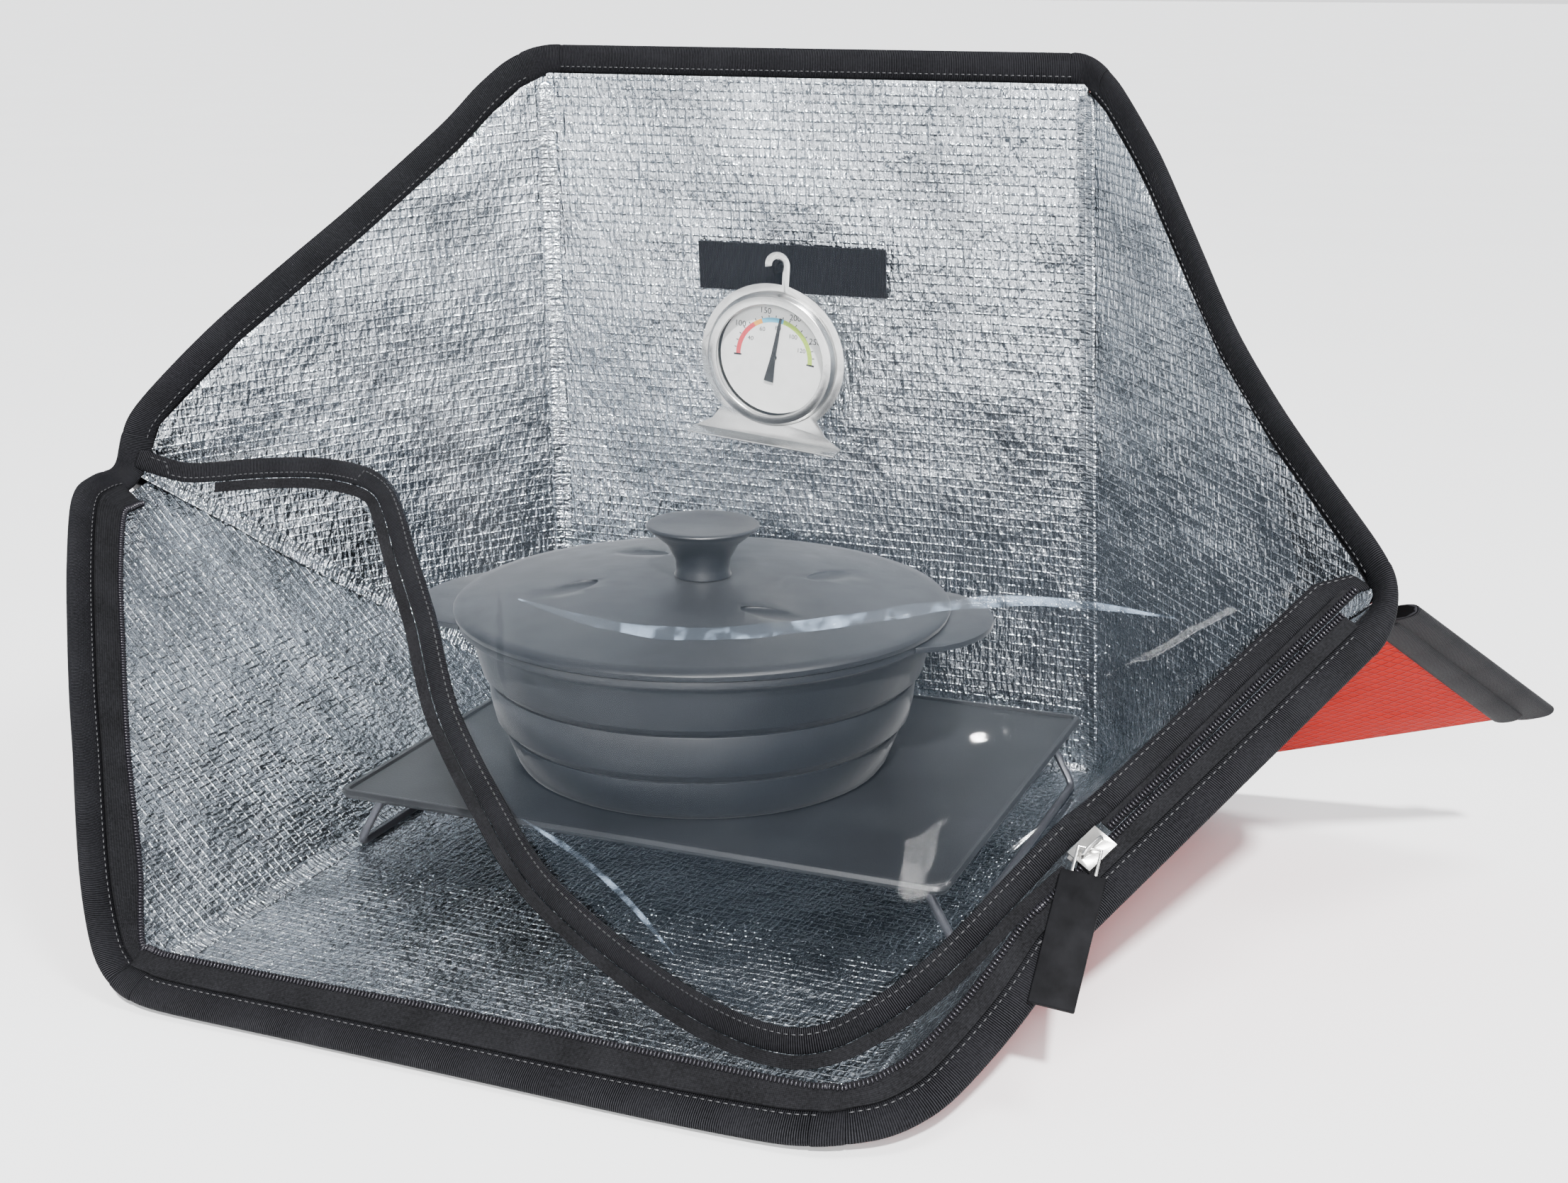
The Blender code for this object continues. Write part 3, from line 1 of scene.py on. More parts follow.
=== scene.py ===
"""Looks of the folding solar oven: woven covers, embossed foil, zips, window and cookware."""

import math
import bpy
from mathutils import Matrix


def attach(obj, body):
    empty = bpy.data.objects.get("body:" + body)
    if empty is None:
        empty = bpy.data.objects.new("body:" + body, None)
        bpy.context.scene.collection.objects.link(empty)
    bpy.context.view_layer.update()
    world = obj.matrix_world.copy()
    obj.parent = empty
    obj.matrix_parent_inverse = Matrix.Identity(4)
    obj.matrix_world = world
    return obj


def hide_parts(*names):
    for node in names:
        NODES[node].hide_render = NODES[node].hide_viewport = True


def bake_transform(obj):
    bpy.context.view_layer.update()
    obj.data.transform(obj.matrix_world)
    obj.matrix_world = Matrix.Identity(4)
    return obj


bl_info = {
    "name": "Folding solar oven",
    "version": (1, 0, 0),
    "blender": (4, 5, 0),
    "location": "View3D > Sidebar > Solar oven",
    "description": "Builds the finished look of a folding solar oven on its packed frame",
    "category": "Object",
}

import bmesh
import bpy
import numpy as np
from bpy.props import FloatProperty, FloatVectorProperty, PointerProperty
from mathutils import Matrix, Vector, noise

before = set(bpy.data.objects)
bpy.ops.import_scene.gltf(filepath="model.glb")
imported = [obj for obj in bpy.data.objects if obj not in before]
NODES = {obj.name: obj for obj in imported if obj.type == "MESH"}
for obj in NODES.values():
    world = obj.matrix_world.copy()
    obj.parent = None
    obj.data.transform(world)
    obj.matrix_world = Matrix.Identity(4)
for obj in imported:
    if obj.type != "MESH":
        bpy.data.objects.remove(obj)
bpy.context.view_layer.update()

# The body that each panel, bound edge and zip stretch rides on. The window's zip has none.
PANEL_BODIES = {"floor": "floor", "back": "reflector", "lower_left": "lower_left",
                "lower_right": "lower_right", "upper_left": "upper_left",
                "upper_right": "upper_right"}
EDGE_BODIES = {"front_binding": "floor", "lower_left_binding": "lower_left",
               "lower_right_binding": "lower_right", "closed_binding": "lower_right",
               "top_binding": "reflector", "upper_left_binding": "upper_left",
               "upper_right_binding": "upper_right"}
ZIP_BODIES = {"front_zip": "floor", "lower_left_zip": "lower_left",
              "lower_right_zip": "lower_right", "closed_zip": "lower_right",
              "window_zip": None}

# Corner pieces of the binding, each with the two edges that it joins
EDGE_TURNS = (("slider_turn", "window", "closed"),
              ("front_left_turn", "front", "lower_left"),
              ("front_right_turn", "front", "lower_right"),
              ("top_left_turn", "top", "upper_left"),
              ("top_right_turn", "top", "upper_right"),
              ("notch_left_turn", "upper_left", "lower_left"),
              ("notch_right_turn", "upper_right", "lower_right"))

# Places on the frame, in metres. Those of a side are given for the right one.
INSIDE = Vector((0.0, 0.05, 0.12))
FLOOR_MIDDLE = Vector((0.0, 0.0, 0.0052))
BACK_MIDDLE = Vector((0.0, 0.180, 0.180))
BACK_TOP = Vector((0.0, 0.1626, 0.3480))
BACK_FOLD_END = Vector((0.149, 0.1948, 0.0052))
FLOOR_CORNER = Vector((0.150, 0.1948, 0.0052))
FRONT_CORNER = Vector((0.150, -0.1830, 0.0052))
TOP_CORNER = Vector((0.140, 0.1626, 0.3480))
NOTCH = Vector((0.3000, 0.0220, 0.1630))
CLOSED_EDGE_START = Vector((0.2940, 0.0210, 0.1688))
WINDOW_ZIP_END = Vector((0.2085, -0.1005, 0.0800))

# The thermometer's dial
BACK_NORMAL = Vector((0.0, -0.99573, -0.09227))
DIAL_CENTRE = Vector((-0.015534, 0.175588, 0.215809))
GAUGE_UP = Vector((0.09237, -0.09188, 0.99148)).normalized()
GAUGE_RIGHT = GAUGE_UP.cross(BACK_NORMAL).normalized()

# Sewing. A bead is one turn of thread or coil, and takes up a share of the pitch.
STITCH_PITCH = 0.0030
THREAD_WIDTH, THREAD_RISE = 0.00034, 0.00030
COIL_WIDTH, COIL_RISE = 0.0017, 0.00115
BEAD_SHARE = 0.36
BINDING_SWELL = 1.09
TURN_SWELL = 1.03
BINDING_REACH = 0.003
SWEEP_STEP = 0.003

# Padding and foil
SKIN = 0.0003
PADDED_EDGE = 0.030
SWELLS_PER_METRE = 22.0
FOLD_WIDTH, FOLD_RIDGE, FOLD_RISE, FOLD_DEPTH = 0.0052, 0.0020, 0.0009, 0.0010

# Window
BACK_CREASE = ((0.229, -0.0218, 0.1578), (0.1974, -0.0198, 0.1585), (0.1676, -0.0281, 0.1596),
               (0.1404, -0.0449, 0.1587), (0.1122, -0.0578, 0.1542), (0.0813, -0.0636, 0.1479),
               (0.0476, -0.0647, 0.1419), (0.0176, -0.0605, 0.1385), (-0.0158, -0.0516, 0.1376),
               (-0.051, -0.0418, 0.1396))
FRONT_CREASE = ((-0.0285, -0.0843, 0.0575), (0.0055, -0.0974, 0.0505), (0.0325, -0.1093, 0.0410),
                (0.0619, -0.1285, 0.0309))

# Studio: height and colour of the air, and each light's kind, place, size and power
AIR = ((0.16, (1.75, 1.76, 1.78)), (0.30, (0.30, 0.36, 0.44)), (1.0, (1.0, 1.0, 1.0)))
LIGHTS = (("key_light", "SUN", (0.52, -1.10, 1.30), 0.06, 9.5),
          ("high_light", "AREA", (0.9, -0.2, 1.8), 0.5, 26.0),
          ("low_light", "AREA", (0.62, -2.0, 0.95), 0.45, 62.0))
CAMERA_PLACE = Vector((0.3743, -0.8055, 0.3908))
CAMERA_LENS = 48.07
CAMERA_TURN, CAMERA_PITCH, CAMERA_ROLL = (math.radians(angle) for angle in (21.56, 15.92, 0.37))


# Sizes and colours

def length(name, default, text):
    return FloatProperty(name=name, description=text, default=default, unit="LENGTH")


def colour(name, default, text):
    return FloatVectorProperty(name=name, description=text, default=default, subtype="COLOR",
                               size=3, min=0.0, max=1.0)


class ShellLooks(bpy.types.PropertyGroup):
    red: colour("Cover", (0.30, 0.0045, 0.0010), "Colour of the ripstop cover")
    black: colour("Binding", (0.0035, 0.0035, 0.0040), "Colour of the binding and the zip tape")
    foil: colour("Foil", (0.66, 0.70, 0.75), "Colour of the embossed foil")
    ripstop_pitch: length("Ripstop pitch", 0.0048, "Distance between the thicker yarns")
    scrim_pitch: length("Scrim pitch", 0.0045, "Distance between the threads under the foil")
    rib_pitch: length("Rib pitch", 0.0017, "Distance between the ribs of the binding")
    sag: length("Foil sag", 0.0016, "How deep the foil sinks into the padding")
    puff: length("Cover puff", 0.0024, "How far the cover stands off the padding")


class ZipLooks(bpy.types.PropertyGroup):
    tooth_pitch: length("Tooth pitch", 0.0016, "Distance between two turns of the coil")
    nickel: colour("Nickel", (0.74, 0.73, 0.71), "Colour of the slider")


class WindowLooks(bpy.types.PropertyGroup):
    tint: colour("Tint", (0.050, 0.065, 0.085), "Tint of the clear sheet")


class CookwareLooks(bpy.types.PropertyGroup):
    silicone: colour("Silicone", (0.0055, 0.0068, 0.0092), "Colour of the pot and its lid")
    coating: colour("Coating", (0.012, 0.013, 0.015), "Colour of the tray")


class GaugeLooks(bpy.types.PropertyGroup):
    steel: colour("Steel", (0.70, 0.70, 0.69), "Colour of the stamped plate")
    face: colour("Dial", (0.90, 0.90, 0.88), "Colour of the dial")
    green: colour("Green band", (0.42, 0.62, 0.06), "Colour of the dial's band for cooking")
    blue: colour("Blue band", (0.12, 0.50, 0.72), "Colour of the dial's band for slow cooking")
    orange: colour("Orange band", (0.85, 0.38, 0.05), "Colour of the dial's band for keeping warm")
    red: colour("Red band", (0.70, 0.05, 0.07), "Colour of the dial's band below serving heat")


class StageLooks(bpy.types.PropertyGroup):
    ground: colour("Ground", (0.90, 0.90, 0.90), "Colour of the floor")


# Node groups that several materials share

def new_group(name, sockets, output):
    group = bpy.data.node_groups.new(name, "ShaderNodeTree")
    group.interface.new_socket("Vector", in_out="INPUT", socket_type="NodeSocketVector")
    for label, value in sockets:
        socket = group.interface.new_socket(label, in_out="INPUT", socket_type="NodeSocketFloat")
        socket.default_value = value
    group.interface.new_socket(output, in_out="OUTPUT", socket_type="NodeSocketFloat")
    return group, group.nodes.new("NodeGroupInput"), group.nodes.new("NodeGroupOutput")


def maths(tree, operation, *values):
    node = tree.nodes.new("ShaderNodeMath")
    node.operation = operation
    for index, value in enumerate(values):
        if isinstance(value, (int, float)):
            node.inputs[index].default_value = value
        else:
            tree.links.new(value, node.inputs[index])
    return node.outputs[0]


def thread_grid():
    """Mask of a square grid of threads: 1 on a thread, 0 between."""
    group, given, result = new_group("thread_grid", (("Pitch", 0.005), ("Width", 0.2)), "Mask")
    apart = group.nodes.new("ShaderNodeSeparateXYZ")
    group.links.new(given.outputs["Vector"], apart.inputs[0])
    masks = []
    for axis in (0, 1):
        share = maths(group, "FRACT", maths(group, "DIVIDE", apart.outputs[axis],
                                            given.outputs["Pitch"]))
        off = maths(group, "ABSOLUTE", maths(group, "SUBTRACT", share, 0.5))
        edge = maths(group, "DIVIDE", maths(group, "SUBTRACT", 0.5, off), given.outputs["Width"])
        masks.append(maths(group, "SUBTRACT", 1.0, maths(group, "MINIMUM", edge, 1.0)))
    group.links.new(maths(group, "MAXIMUM", *masks), result.inputs[0])


def plain_weave():
    """Height of a plain weave over and under a square grid of yarns."""
    group, given, result = new_group("plain_weave", (("Pitch", 0.0006),), "Height")
    apart = group.nodes.new("ShaderNodeSeparateXYZ")
    group.links.new(given.outputs["Vector"], apart.inputs[0])
    waves = []
    for axis in (0, 1):
        turn = maths(group, "MULTIPLY", maths(group, "DIVIDE", apart.outputs[axis],
                                              given.outputs["Pitch"]), math.pi)
        waves.append(maths(group, "SINE", turn))
    both = maths(group, "MULTIPLY", *waves)
    group.links.new(maths(group, "ABSOLUTE", both), result.inputs[0])


def grain_and_painted_reflection():
    """Two sizes of noise mixed, for grain, dust and uneven dye, and for the painted reflection
    patches in the foil's colour.
    """
    group, given, result = new_group("grain_and_painted_reflection", (("Coarse", 30.0), ("Fine", 900.0),
                                                      ("Share", 0.5)), "Value")
    mixed = group.nodes.new("ShaderNodeMix")
    group.links.new(given.outputs["Share"], mixed.inputs["Factor"])
    for size, side in (("Coarse", "A"), ("Fine", "B")):
        cloud = group.nodes.new("ShaderNodeTexNoise")
        cloud.inputs["Detail"].default_value = 3.0
        group.links.new(given.outputs["Vector"], cloud.inputs["Vector"])
        group.links.new(given.outputs[size], cloud.inputs["Scale"])
        group.links.new(cloud.outputs["Fac"], mixed.inputs[side])
    group.links.new(mixed.outputs["Result"], result.inputs[0])


def set_stops(ramp, stops):
    """Give a colour ramp its places and colours, in rising order."""
    while len(ramp.elements) < len(stops):
        ramp.elements.new(0.5)
    for element, (place, tone) in zip(ramp.elements, stops):
        element.position = place
        element.color = (*tone, 1.0)


class Finish:
    """One material under construction, with short calls for its usual nodes."""

    def __init__(self, name, base, rough, metal=0.0):
        self.material = bpy.data.materials.new(name)
        self.material.use_nodes = True
        self.tree = self.material.node_tree
        self.shader = self.tree.nodes["Principled BSDF"]
        self.shader.inputs["Base Color"].default_value = (*base, 1.0)
        self.shader.inputs["Roughness"].default_value = rough
        self.shader.inputs["Metallic"].default_value = metal
        self.base = base

    def set(self, **values):
        """Plain numbers for sockets of the shader, named with underscores for spaces."""
        for name, value in values.items():
            self.shader.inputs[name.replace("_", " ")].default_value = value
        return self

    def cloth(self, turn=0.0):
        """The piece's own cloth map, turned in its plane."""
        source = self.tree.nodes.new("ShaderNodeUVMap")
        source.uv_map = "cloth"
        mapping = self.tree.nodes.new("ShaderNodeMapping")
        mapping.inputs["Rotation"].default_value = (0.0, 0.0, turn)
        self.tree.links.new(source.outputs[0], mapping.inputs[0])
        return mapping.outputs[0]

    def spot(self):
        """The place on the object itself."""
        return self.tree.nodes.new("ShaderNodeTexCoord").outputs["Object"]

    def group(self, name, vector, **values):
        node = self.tree.nodes.new("ShaderNodeGroup")
        node.node_tree = bpy.data.node_groups[name]
        self.tree.links.new(vector, node.inputs["Vector"])
        for key, value in values.items():
            node.inputs[key].default_value = value
        return node.outputs[0]

    def noise(self, vector, scale, detail=2.0):
        node = self.tree.nodes.new("ShaderNodeTexNoise")
        node.inputs["Scale"].default_value = scale
        node.inputs["Detail"].default_value = detail
        self.tree.links.new(vector, node.inputs["Vector"])
        return node.outputs["Fac"]

    def maths(self, operation, *values):
        return maths(self.tree, operation, *values)

    def tint(self, value, low, high):
        """Base colour between two brightnesses of the base, led by a value."""
        node = self.tree.nodes.new("ShaderNodeValToRGB")
        set_stops(node.color_ramp, [(place, tuple(min(1.0, part * share) for part in self.base))
                                    for place, share in ((0.3, low), (0.7, high))])
        self.tree.links.new(value, node.inputs[0])
        self.tree.links.new(node.outputs[0], self.shader.inputs["Base Color"])

    def spread(self, socket, value, low, high, start=0.0, end=1.0):
        """A socket of the shader between two numbers, led by a value from start to end."""
        node = self.tree.nodes.new("ShaderNodeMapRange")
        for name, number in (("From Min", start), ("From Max", end), ("To Min", low),
                             ("To Max", high)):
            node.inputs[name].default_value = number
        self.tree.links.new(value, node.inputs["Value"])
        self.tree.links.new(node.outputs[0], self.shader.inputs[socket])

    def rough(self, value, low, high):
        self.spread("Roughness", value, low, high)

    def bump(self, *layers):
        """Layers of (height, distance in metres, strength), each one over the last."""
        last = None
        for height, distance, strength in layers:
            node = self.tree.nodes.new("ShaderNodeBump")
            node.inputs["Distance"].default_value = distance
            node.inputs["Strength"].default_value = strength
            self.tree.links.new(height, node.inputs["Height"])
            if last:
                self.tree.links.new(last, node.inputs["Normal"])
            last = node.outputs[0]
        self.tree.links.new(last, self.shader.inputs["Normal"])


# Materials of the fabric shell

def embossed_foil(shell):
    """Metallised film pressed into cells over a thread scrim, and creased."""
    foil = Finish("embossed_foil", shell.foil, 0.16, 1.0)
    flat = foil.cloth()
    stretched = foil.tree.nodes.new("ShaderNodeMapping")
    stretched.inputs["Scale"].default_value = (1.0, 0.36, 1.0)
    foil.tree.links.new(flat, stretched.inputs[0])
    scrim = foil.group("thread_grid", flat, Pitch=shell.scrim_pitch, Width=0.16)
    cells = foil.tree.nodes.new("ShaderNodeTexVoronoi")
    cells.inputs["Scale"].default_value = 520.0
    foil.tree.links.new(stretched.outputs[0], cells.inputs["Vector"])
    crease = foil.noise(flat, 17.0, 5.0)
    wrinkle = foil.noise(stretched.outputs[0], 430.0, 3.0)
    patch = foil.noise(flat, 44.0, 3.0)
    # Patches of darker and brighter colour across the foil: painted reflection of dark and bright
    # surroundings.
    foil.tint(foil.group("grain_and_painted_reflection", flat, Coarse=22.0, Fine=420.0, Share=0.5), 0.34, 1.35)
    foil.rough(patch, 0.05, 0.22)
    foil.bump((crease, 0.016, 0.6), (wrinkle, 0.0022, 0.9),
              (cells.outputs["Distance"], 0.0009, 0.6),
              (foil.maths("MULTIPLY", scrim, patch), 0.0007, 0.8))


def red_ripstop(shell):
    """Woven nylon with thicker yarns in squares, set on the bias."""
    red = Finish("red_ripstop", shell.red, 0.55).set(Specular_IOR_Level=0.05)
    flat = red.cloth(math.radians(45.0))
    grid = red.group("thread_grid", flat, Pitch=shell.ripstop_pitch, Width=0.14)
    weave = red.group("plain_weave", flat, Pitch=0.00055)
    dye = red.group("grain_and_painted_reflection", flat, Coarse=9.0, Fine=160.0, Share=0.35)
    red.tint(red.maths("SUBTRACT", dye, red.maths("MULTIPLY", grid, 0.34)), 0.72, 1.15)
    red.rough(grid, 0.66, 0.48)
    red.bump((red.noise(flat, 14.0, 4.0), 0.004, 0.5), (weave, 0.00025, 0.5),
             (grid, 0.0006, 0.9))


def ribbed_binding(shell):
    """Grosgrain tape with ribs across its length."""
    black = Finish("ribbed_binding", shell.black, 0.5).set(Specular_IOR_Level=0.03)
    flat = black.cloth()
    apart = black.tree.nodes.new("ShaderNodeSeparateXYZ")
    black.tree.links.new(flat, apart.inputs[0])
    turn = black.maths("MULTIPLY", apart.outputs[0], 2 * math.pi / shell.rib_pitch)
    rib = black.maths("POWER", black.maths("ABSOLUTE", black.maths("SINE", turn)), 0.6)
    yarn = black.group("plain_weave", flat, Pitch=0.00042)
    worn = black.group("grain_and_painted_reflection", flat, Coarse=40.0, Fine=700.0, Share=0.6)
    # Ribs painted lighter than the tape between them: a painted highlight along each rib, over a
    # tone that differs at random.
    black.tint(black.maths("ADD", black.maths("MULTIPLY", rib, 0.35),
                           black.maths("MULTIPLY", worn, 0.6)), 0.4, 4.6)
    black.rough(rib, 0.62, 0.42)
    black.bump((rib, 0.0007, 1.0), (yarn, 0.0002, 0.4))


def sewing_thread():
    thread = Finish("sewing_thread", (0.022, 0.022, 0.024), 0.5)
    thread.rough(thread.noise(thread.spot(), 900.0), 0.4, 0.6)


def woven_tape(shell):
    """The zip's tape, also seen on the cut sides of a panel."""
    tape = Finish("woven_tape", shell.black, 0.8).set(Specular_IOR_Level=0.08)
    flat = tape.cloth()
    tape.tint(tape.group("grain_and_painted_reflection", flat, Coarse=60.0, Fine=900.0, Share=0.6), 0.5, 3.2)
    tape.bump((tape.group("plain_weave", flat, Pitch=0.0007), 0.0003, 0.7))


def zip_tooth():
    tooth = Finish("zip_tooth", (0.016, 0.015, 0.019), 0.2, 0.4)
    tooth.rough(tooth.noise(tooth.spot(), 400.0), 0.12, 0.26)
    tooth.bump((tooth.noise(tooth.spot(), 900.0), 0.0002, 0.3))


def moulded_rubber():
    rubber = Finish("moulded_rubber", (0.0035, 0.0035, 0.0040), 0.66).set(Specular_IOR_Level=0.04)
    spot = rubber.spot()
    rubber.tint(rubber.noise(spot, 120.0, 3.0), 0.8, 1.8)
    rubber.bump((rubber.group("grain_and_painted_reflection", spot, Coarse=200.0, Fine=2200.0, Share=0.7),
                 0.0002, 0.4))


def vinyl(name, base, ripple, depth):
    """Thin film with long waves and finer ripples, for the clear sheet and its creases."""
    film = Finish(name, base, 0.05).set(IOR=1.52, Coat_Weight=1.0, Coat_Roughness=0.04)
    spot = film.spot()
    film.bump((film.noise(spot, 9.0, 3.0), 0.010, 0.45), (film.noise(spot, ripple), depth, 0.6))
    film.material.surface_render_method = "BLENDED"
    return film


def clear_vinyl(window):
    """The sheet, clearer where it is seen square on."""
    film = vinyl("clear_vinyl", window.tint, 45.0, 0.0012)
    edge = film.tree.nodes.new("ShaderNodeLayerWeight")
    edge.inputs["Blend"].default_value = 0.28
    film.spread("Alpha", edge.outputs["Facing"], 0.022, 0.20)


def painted_glint_vinyl(window):
    """A crease in the sheet, with a pale colour shown in noise patches: painted glints along the
    crease.
    """
    # The pale colour, shown in noise patches through the alpha, paints the glints along the
    # crease.
    pale = tuple(min(1.0, part * 7.0) for part in window.tint)
    film = vinyl("painted_glint_vinyl", pale, 330.0, 0.0030)
    film.spread("Alpha", film.noise(film.spot(), 90.0), 0.02, 0.30, 0.47, 0.66)


# Materials of the metal and the cookware

def bright_nickel(zips):
    nickel = Finish("bright_nickel", zips.nickel, 0.2, 1.0)
    spot = nickel.spot()
    nickel.tint(nickel.noise(spot, 180.0, 4.0), 0.82, 1.08)
    nickel.rough(nickel.group("grain_and_painted_reflection", spot, Coarse=90.0, Fine=1500.0, Share=0.4),
                 0.12, 0.34)
    nickel.bump((nickel.noise(spot, 260.0, 3.0), 0.0003, 0.12))


def stamped_steel(gauge):
    steel = Finish("stamped_steel", gauge.steel, 0.22, 1.0)
    spot = steel.spot()
    steel.tint(steel.noise(spot, 60.0, 3.0), 0.86, 1.06)
    steel.rough(steel.group("grain_and_painted_reflection", spot, Coarse=50.0, Fine=1300.0, Share=0.5),
                0.14, 0.32)
    steel.bump((steel.noise(spot, 40.0), 0.0015, 0.2))


def matt_silicone(cook):
    silicone = Finish("matt_silicone", cook.silicone, 0.55)
    silicone.set(Sheen_Weight=0.12, Sheen_Roughness=0.35)
    spot = silicone.spot()
    silicone.tint(silicone.group("grain_and_painted_reflection", spot, Coarse=16.0, Fine=500.0, Share=0.35),
                  0.8, 1.35)
    silicone.rough(silicone.noise(spot, 70.0, 4.0), 0.32, 0.52)
    silicone.bump((silicone.group("grain_and_painted_reflection", spot, Coarse=140.0, Fine=1800.0, Share=0.6),
                   0.0003, 0.35))


def dark_coating(cook):
    """Baked coating of the tray."""
    coating = Finish("dark_coating", cook.coating, 0.4, 0.25)
    spot = coating.spot()
    coating.tint(coating.noise(spot, 24.0, 5.0), 0.75, 1.5)
    coating.rough(coating.group("grain_and_painted_reflection", spot, Coarse=30.0, Fine=1400.0, Share=0.5),
                  0.28, 0.52)
    coating.bump((coating.noise(spot, 1300.0), 0.0002, 0.35))


def drawn_wire():
    leg = Finish("drawn_wire", (0.09, 0.09, 0.10), 0.36, 0.85)
    leg.rough(leg.noise(leg.spot(), 300.0), 0.28, 0.5)
    leg.bump((leg.noise(leg.spot(), 500.0), 0.0002, 0.3))


def drawn_brass():
    brass = Finish("drawn_brass", (0.72, 0.52, 0.24), 0.32, 1.0)
    brass.rough(brass.noise(brass.spot(), 400.0), 0.22, 0.45)


# Materials of the dial

def dial_lacquer(gauge):
    face = Finish("dial_lacquer", gauge.face, 0.45)
    face.tint(face.noise(face.spot(), 200.0, 3.0), 0.96, 1.04)


def black_ink():
    ink = Finish("black_ink", (0.012, 0.012, 0.012), 0.5)
    ink.rough(ink.noise(ink.spot(), 800.0), 0.42, 0.58)


def coloured_ink(gauge):
    """One printing ink for each band of the scale."""
    inks = (("green", gauge.green), ("blue", gauge.blue), ("orange", gauge.orange),
            ("red", gauge.red))
    for number, (name, tone) in enumerate(inks):
        ink = Finish("print_" + name, tone, 0.45)
        ink.tint(ink.noise(ink.spot(), 260.0 + number, 3.0), 0.93, 1.06)


def clear_lens():
    lens = Finish("clear_lens", (0.04, 0.05, 0.06), 0.03).set(Alpha=0.10, IOR=1.5)
    lens.material.surface_render_method = "BLENDED"


def make_finishes(looks):
    """All materials of the oven, by name."""
    for group in (thread_grid, plain_weave, grain_and_painted_reflection):
        group()
    for finish in (embossed_foil, red_ripstop, ribbed_binding, woven_tape):
        finish(looks.shell)
    for finish in (clear_vinyl, painted_glint_vinyl):
        finish(looks.window)
    for finish in (matt_silicone, dark_coating):
        finish(looks.cookware)
    for finish in (stamped_steel, dial_lacquer, coloured_ink):
        finish(looks.gauge)
    for finish in (sewing_thread, zip_tooth, moulded_rubber, drawn_wire, drawn_brass, black_ink,
                   clear_lens):
        finish()
    bright_nickel(looks.zips)


# Where a finished piece belongs

def window_follows(piece):
    """Bake the piece's place into its mesh; the window's pieces ride on no body."""
    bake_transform(piece)


def dress(piece, body, material, slot, *nodes):
    """Give a finished piece its material, the body it rides on and the nodes it stands for.

    A piece with no body of its own belongs to the window.
    """
    piece.data.materials.clear()
    piece.data.materials.append(bpy.data.materials[material])
    if body:
        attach(piece, body)
    else:
        window_follows(piece)
    if nodes:
        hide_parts(*nodes)
    return piece


# Modelling helpers

def only_select(piece):
    for other in list(bpy.context.selected_objects):
        other.select_set(False)
    if piece:
        piece.select_set(True)
        bpy.context.view_layer.objects.active = piece


def merged(node):
    """The node's triangles as one connected mesh."""
    work = bmesh.new()
    work.from_mesh(NODES[node].data)
    bmesh.ops.remove_doubles(work, verts=work.verts, dist=0.000002)
    return work


def new_piece(name, work):
    mesh = bpy.data.meshes.new(name)
    work.to_mesh(mesh)
    work.free()
    piece = bpy.data.objects.new(name, mesh)
    bpy.context.scene.collection.objects.link(piece)
    only_select(piece)
    return piece


def apply(piece, kind, **values):
    change = piece.modifiers.new(kind.lower(), kind)
    for key, value in values.items():
        setattr(change, key, value)
    bpy.context.view_layer.objects.active = piece
    bpy.ops.object.modifier_apply(modifier=change.name)


def subdivide(piece, levels):
    apply(piece, "SUBSURF", levels=levels, render_levels=levels)


def smooth(piece, angle):
    only_select(piece)
    bpy.ops.object.shade_smooth_by_angle(angle=math.radians(angle))
    return piece


def refined(name, node, bevel=0.0):
    """A rigid node's shape with its faces merged, its edges eased and its curves smooth."""
    work = merged(node)
    bmesh.ops.dissolve_limit(work, angle_limit=math.radians(0.3), verts=work.verts,
                             edges=work.edges)
    piece = new_piece(name, work)
    if bevel:
        apply(piece, "BEVEL", width=bevel, segments=2, limit_method="ANGLE",
              angle_limit=math.radians(42.0), use_clamp_overlap=True)
    return smooth(piece, 32.0)


def map_flat(work, one, two):
    """Cloth map in metres, measured along two directions."""
    layer = work.loops.layers.uv.new("cloth")
    for face in work.faces:
        for corner in face.loops:
            spot = corner.vert.co
            corner[layer].uv = (spot.dot(one), spot.dot(two))


def cut_in_cells(work, directions, cell):
    """Cut a panel layer along straight lines, so that its face can be shaped."""
    for direction in directions:
        spans = [vert.co.dot(direction) for vert in work.verts]
        place, stop = min(spans) + cell, max(spans) - cell * 0.3
        while place < stop:
            bmesh.ops.bisect_plane(work, geom=work.verts[:] + work.edges[:] + work.faces[:],
                                   plane_co=direction * place, plane_no=direction)
            place += cell


def pad_face(work, facing, level, push, one, two, seed):
    """Push the face of a panel layer in soft swells that fade out towards its rim."""
    rim = np.array([tuple(vert.co) for vert in work.verts
                    if any(abs(face.normal.dot(facing)) < 0.5 for face in vert.link_faces)])
    for vert in work.verts:
        if vert.co.dot(facing) < level:
            continue
        away = float(np.sqrt(((rim - np.array(tuple(vert.co))) ** 2).sum(1).min()))
        share = min(1.0, away / PADDED_EDGE)
        share = share * share * (3 - 2 * share)
        spot = Vector((vert.co.dot(one), vert.co.dot(two), seed)) * SWELLS_PER_METRE
        swell = 0.55 + 0.6 * noise.noise(spot) + 0.3 * noise.noise(spot * 2.7)
        vert.co += push * share * max(0.0, swell)


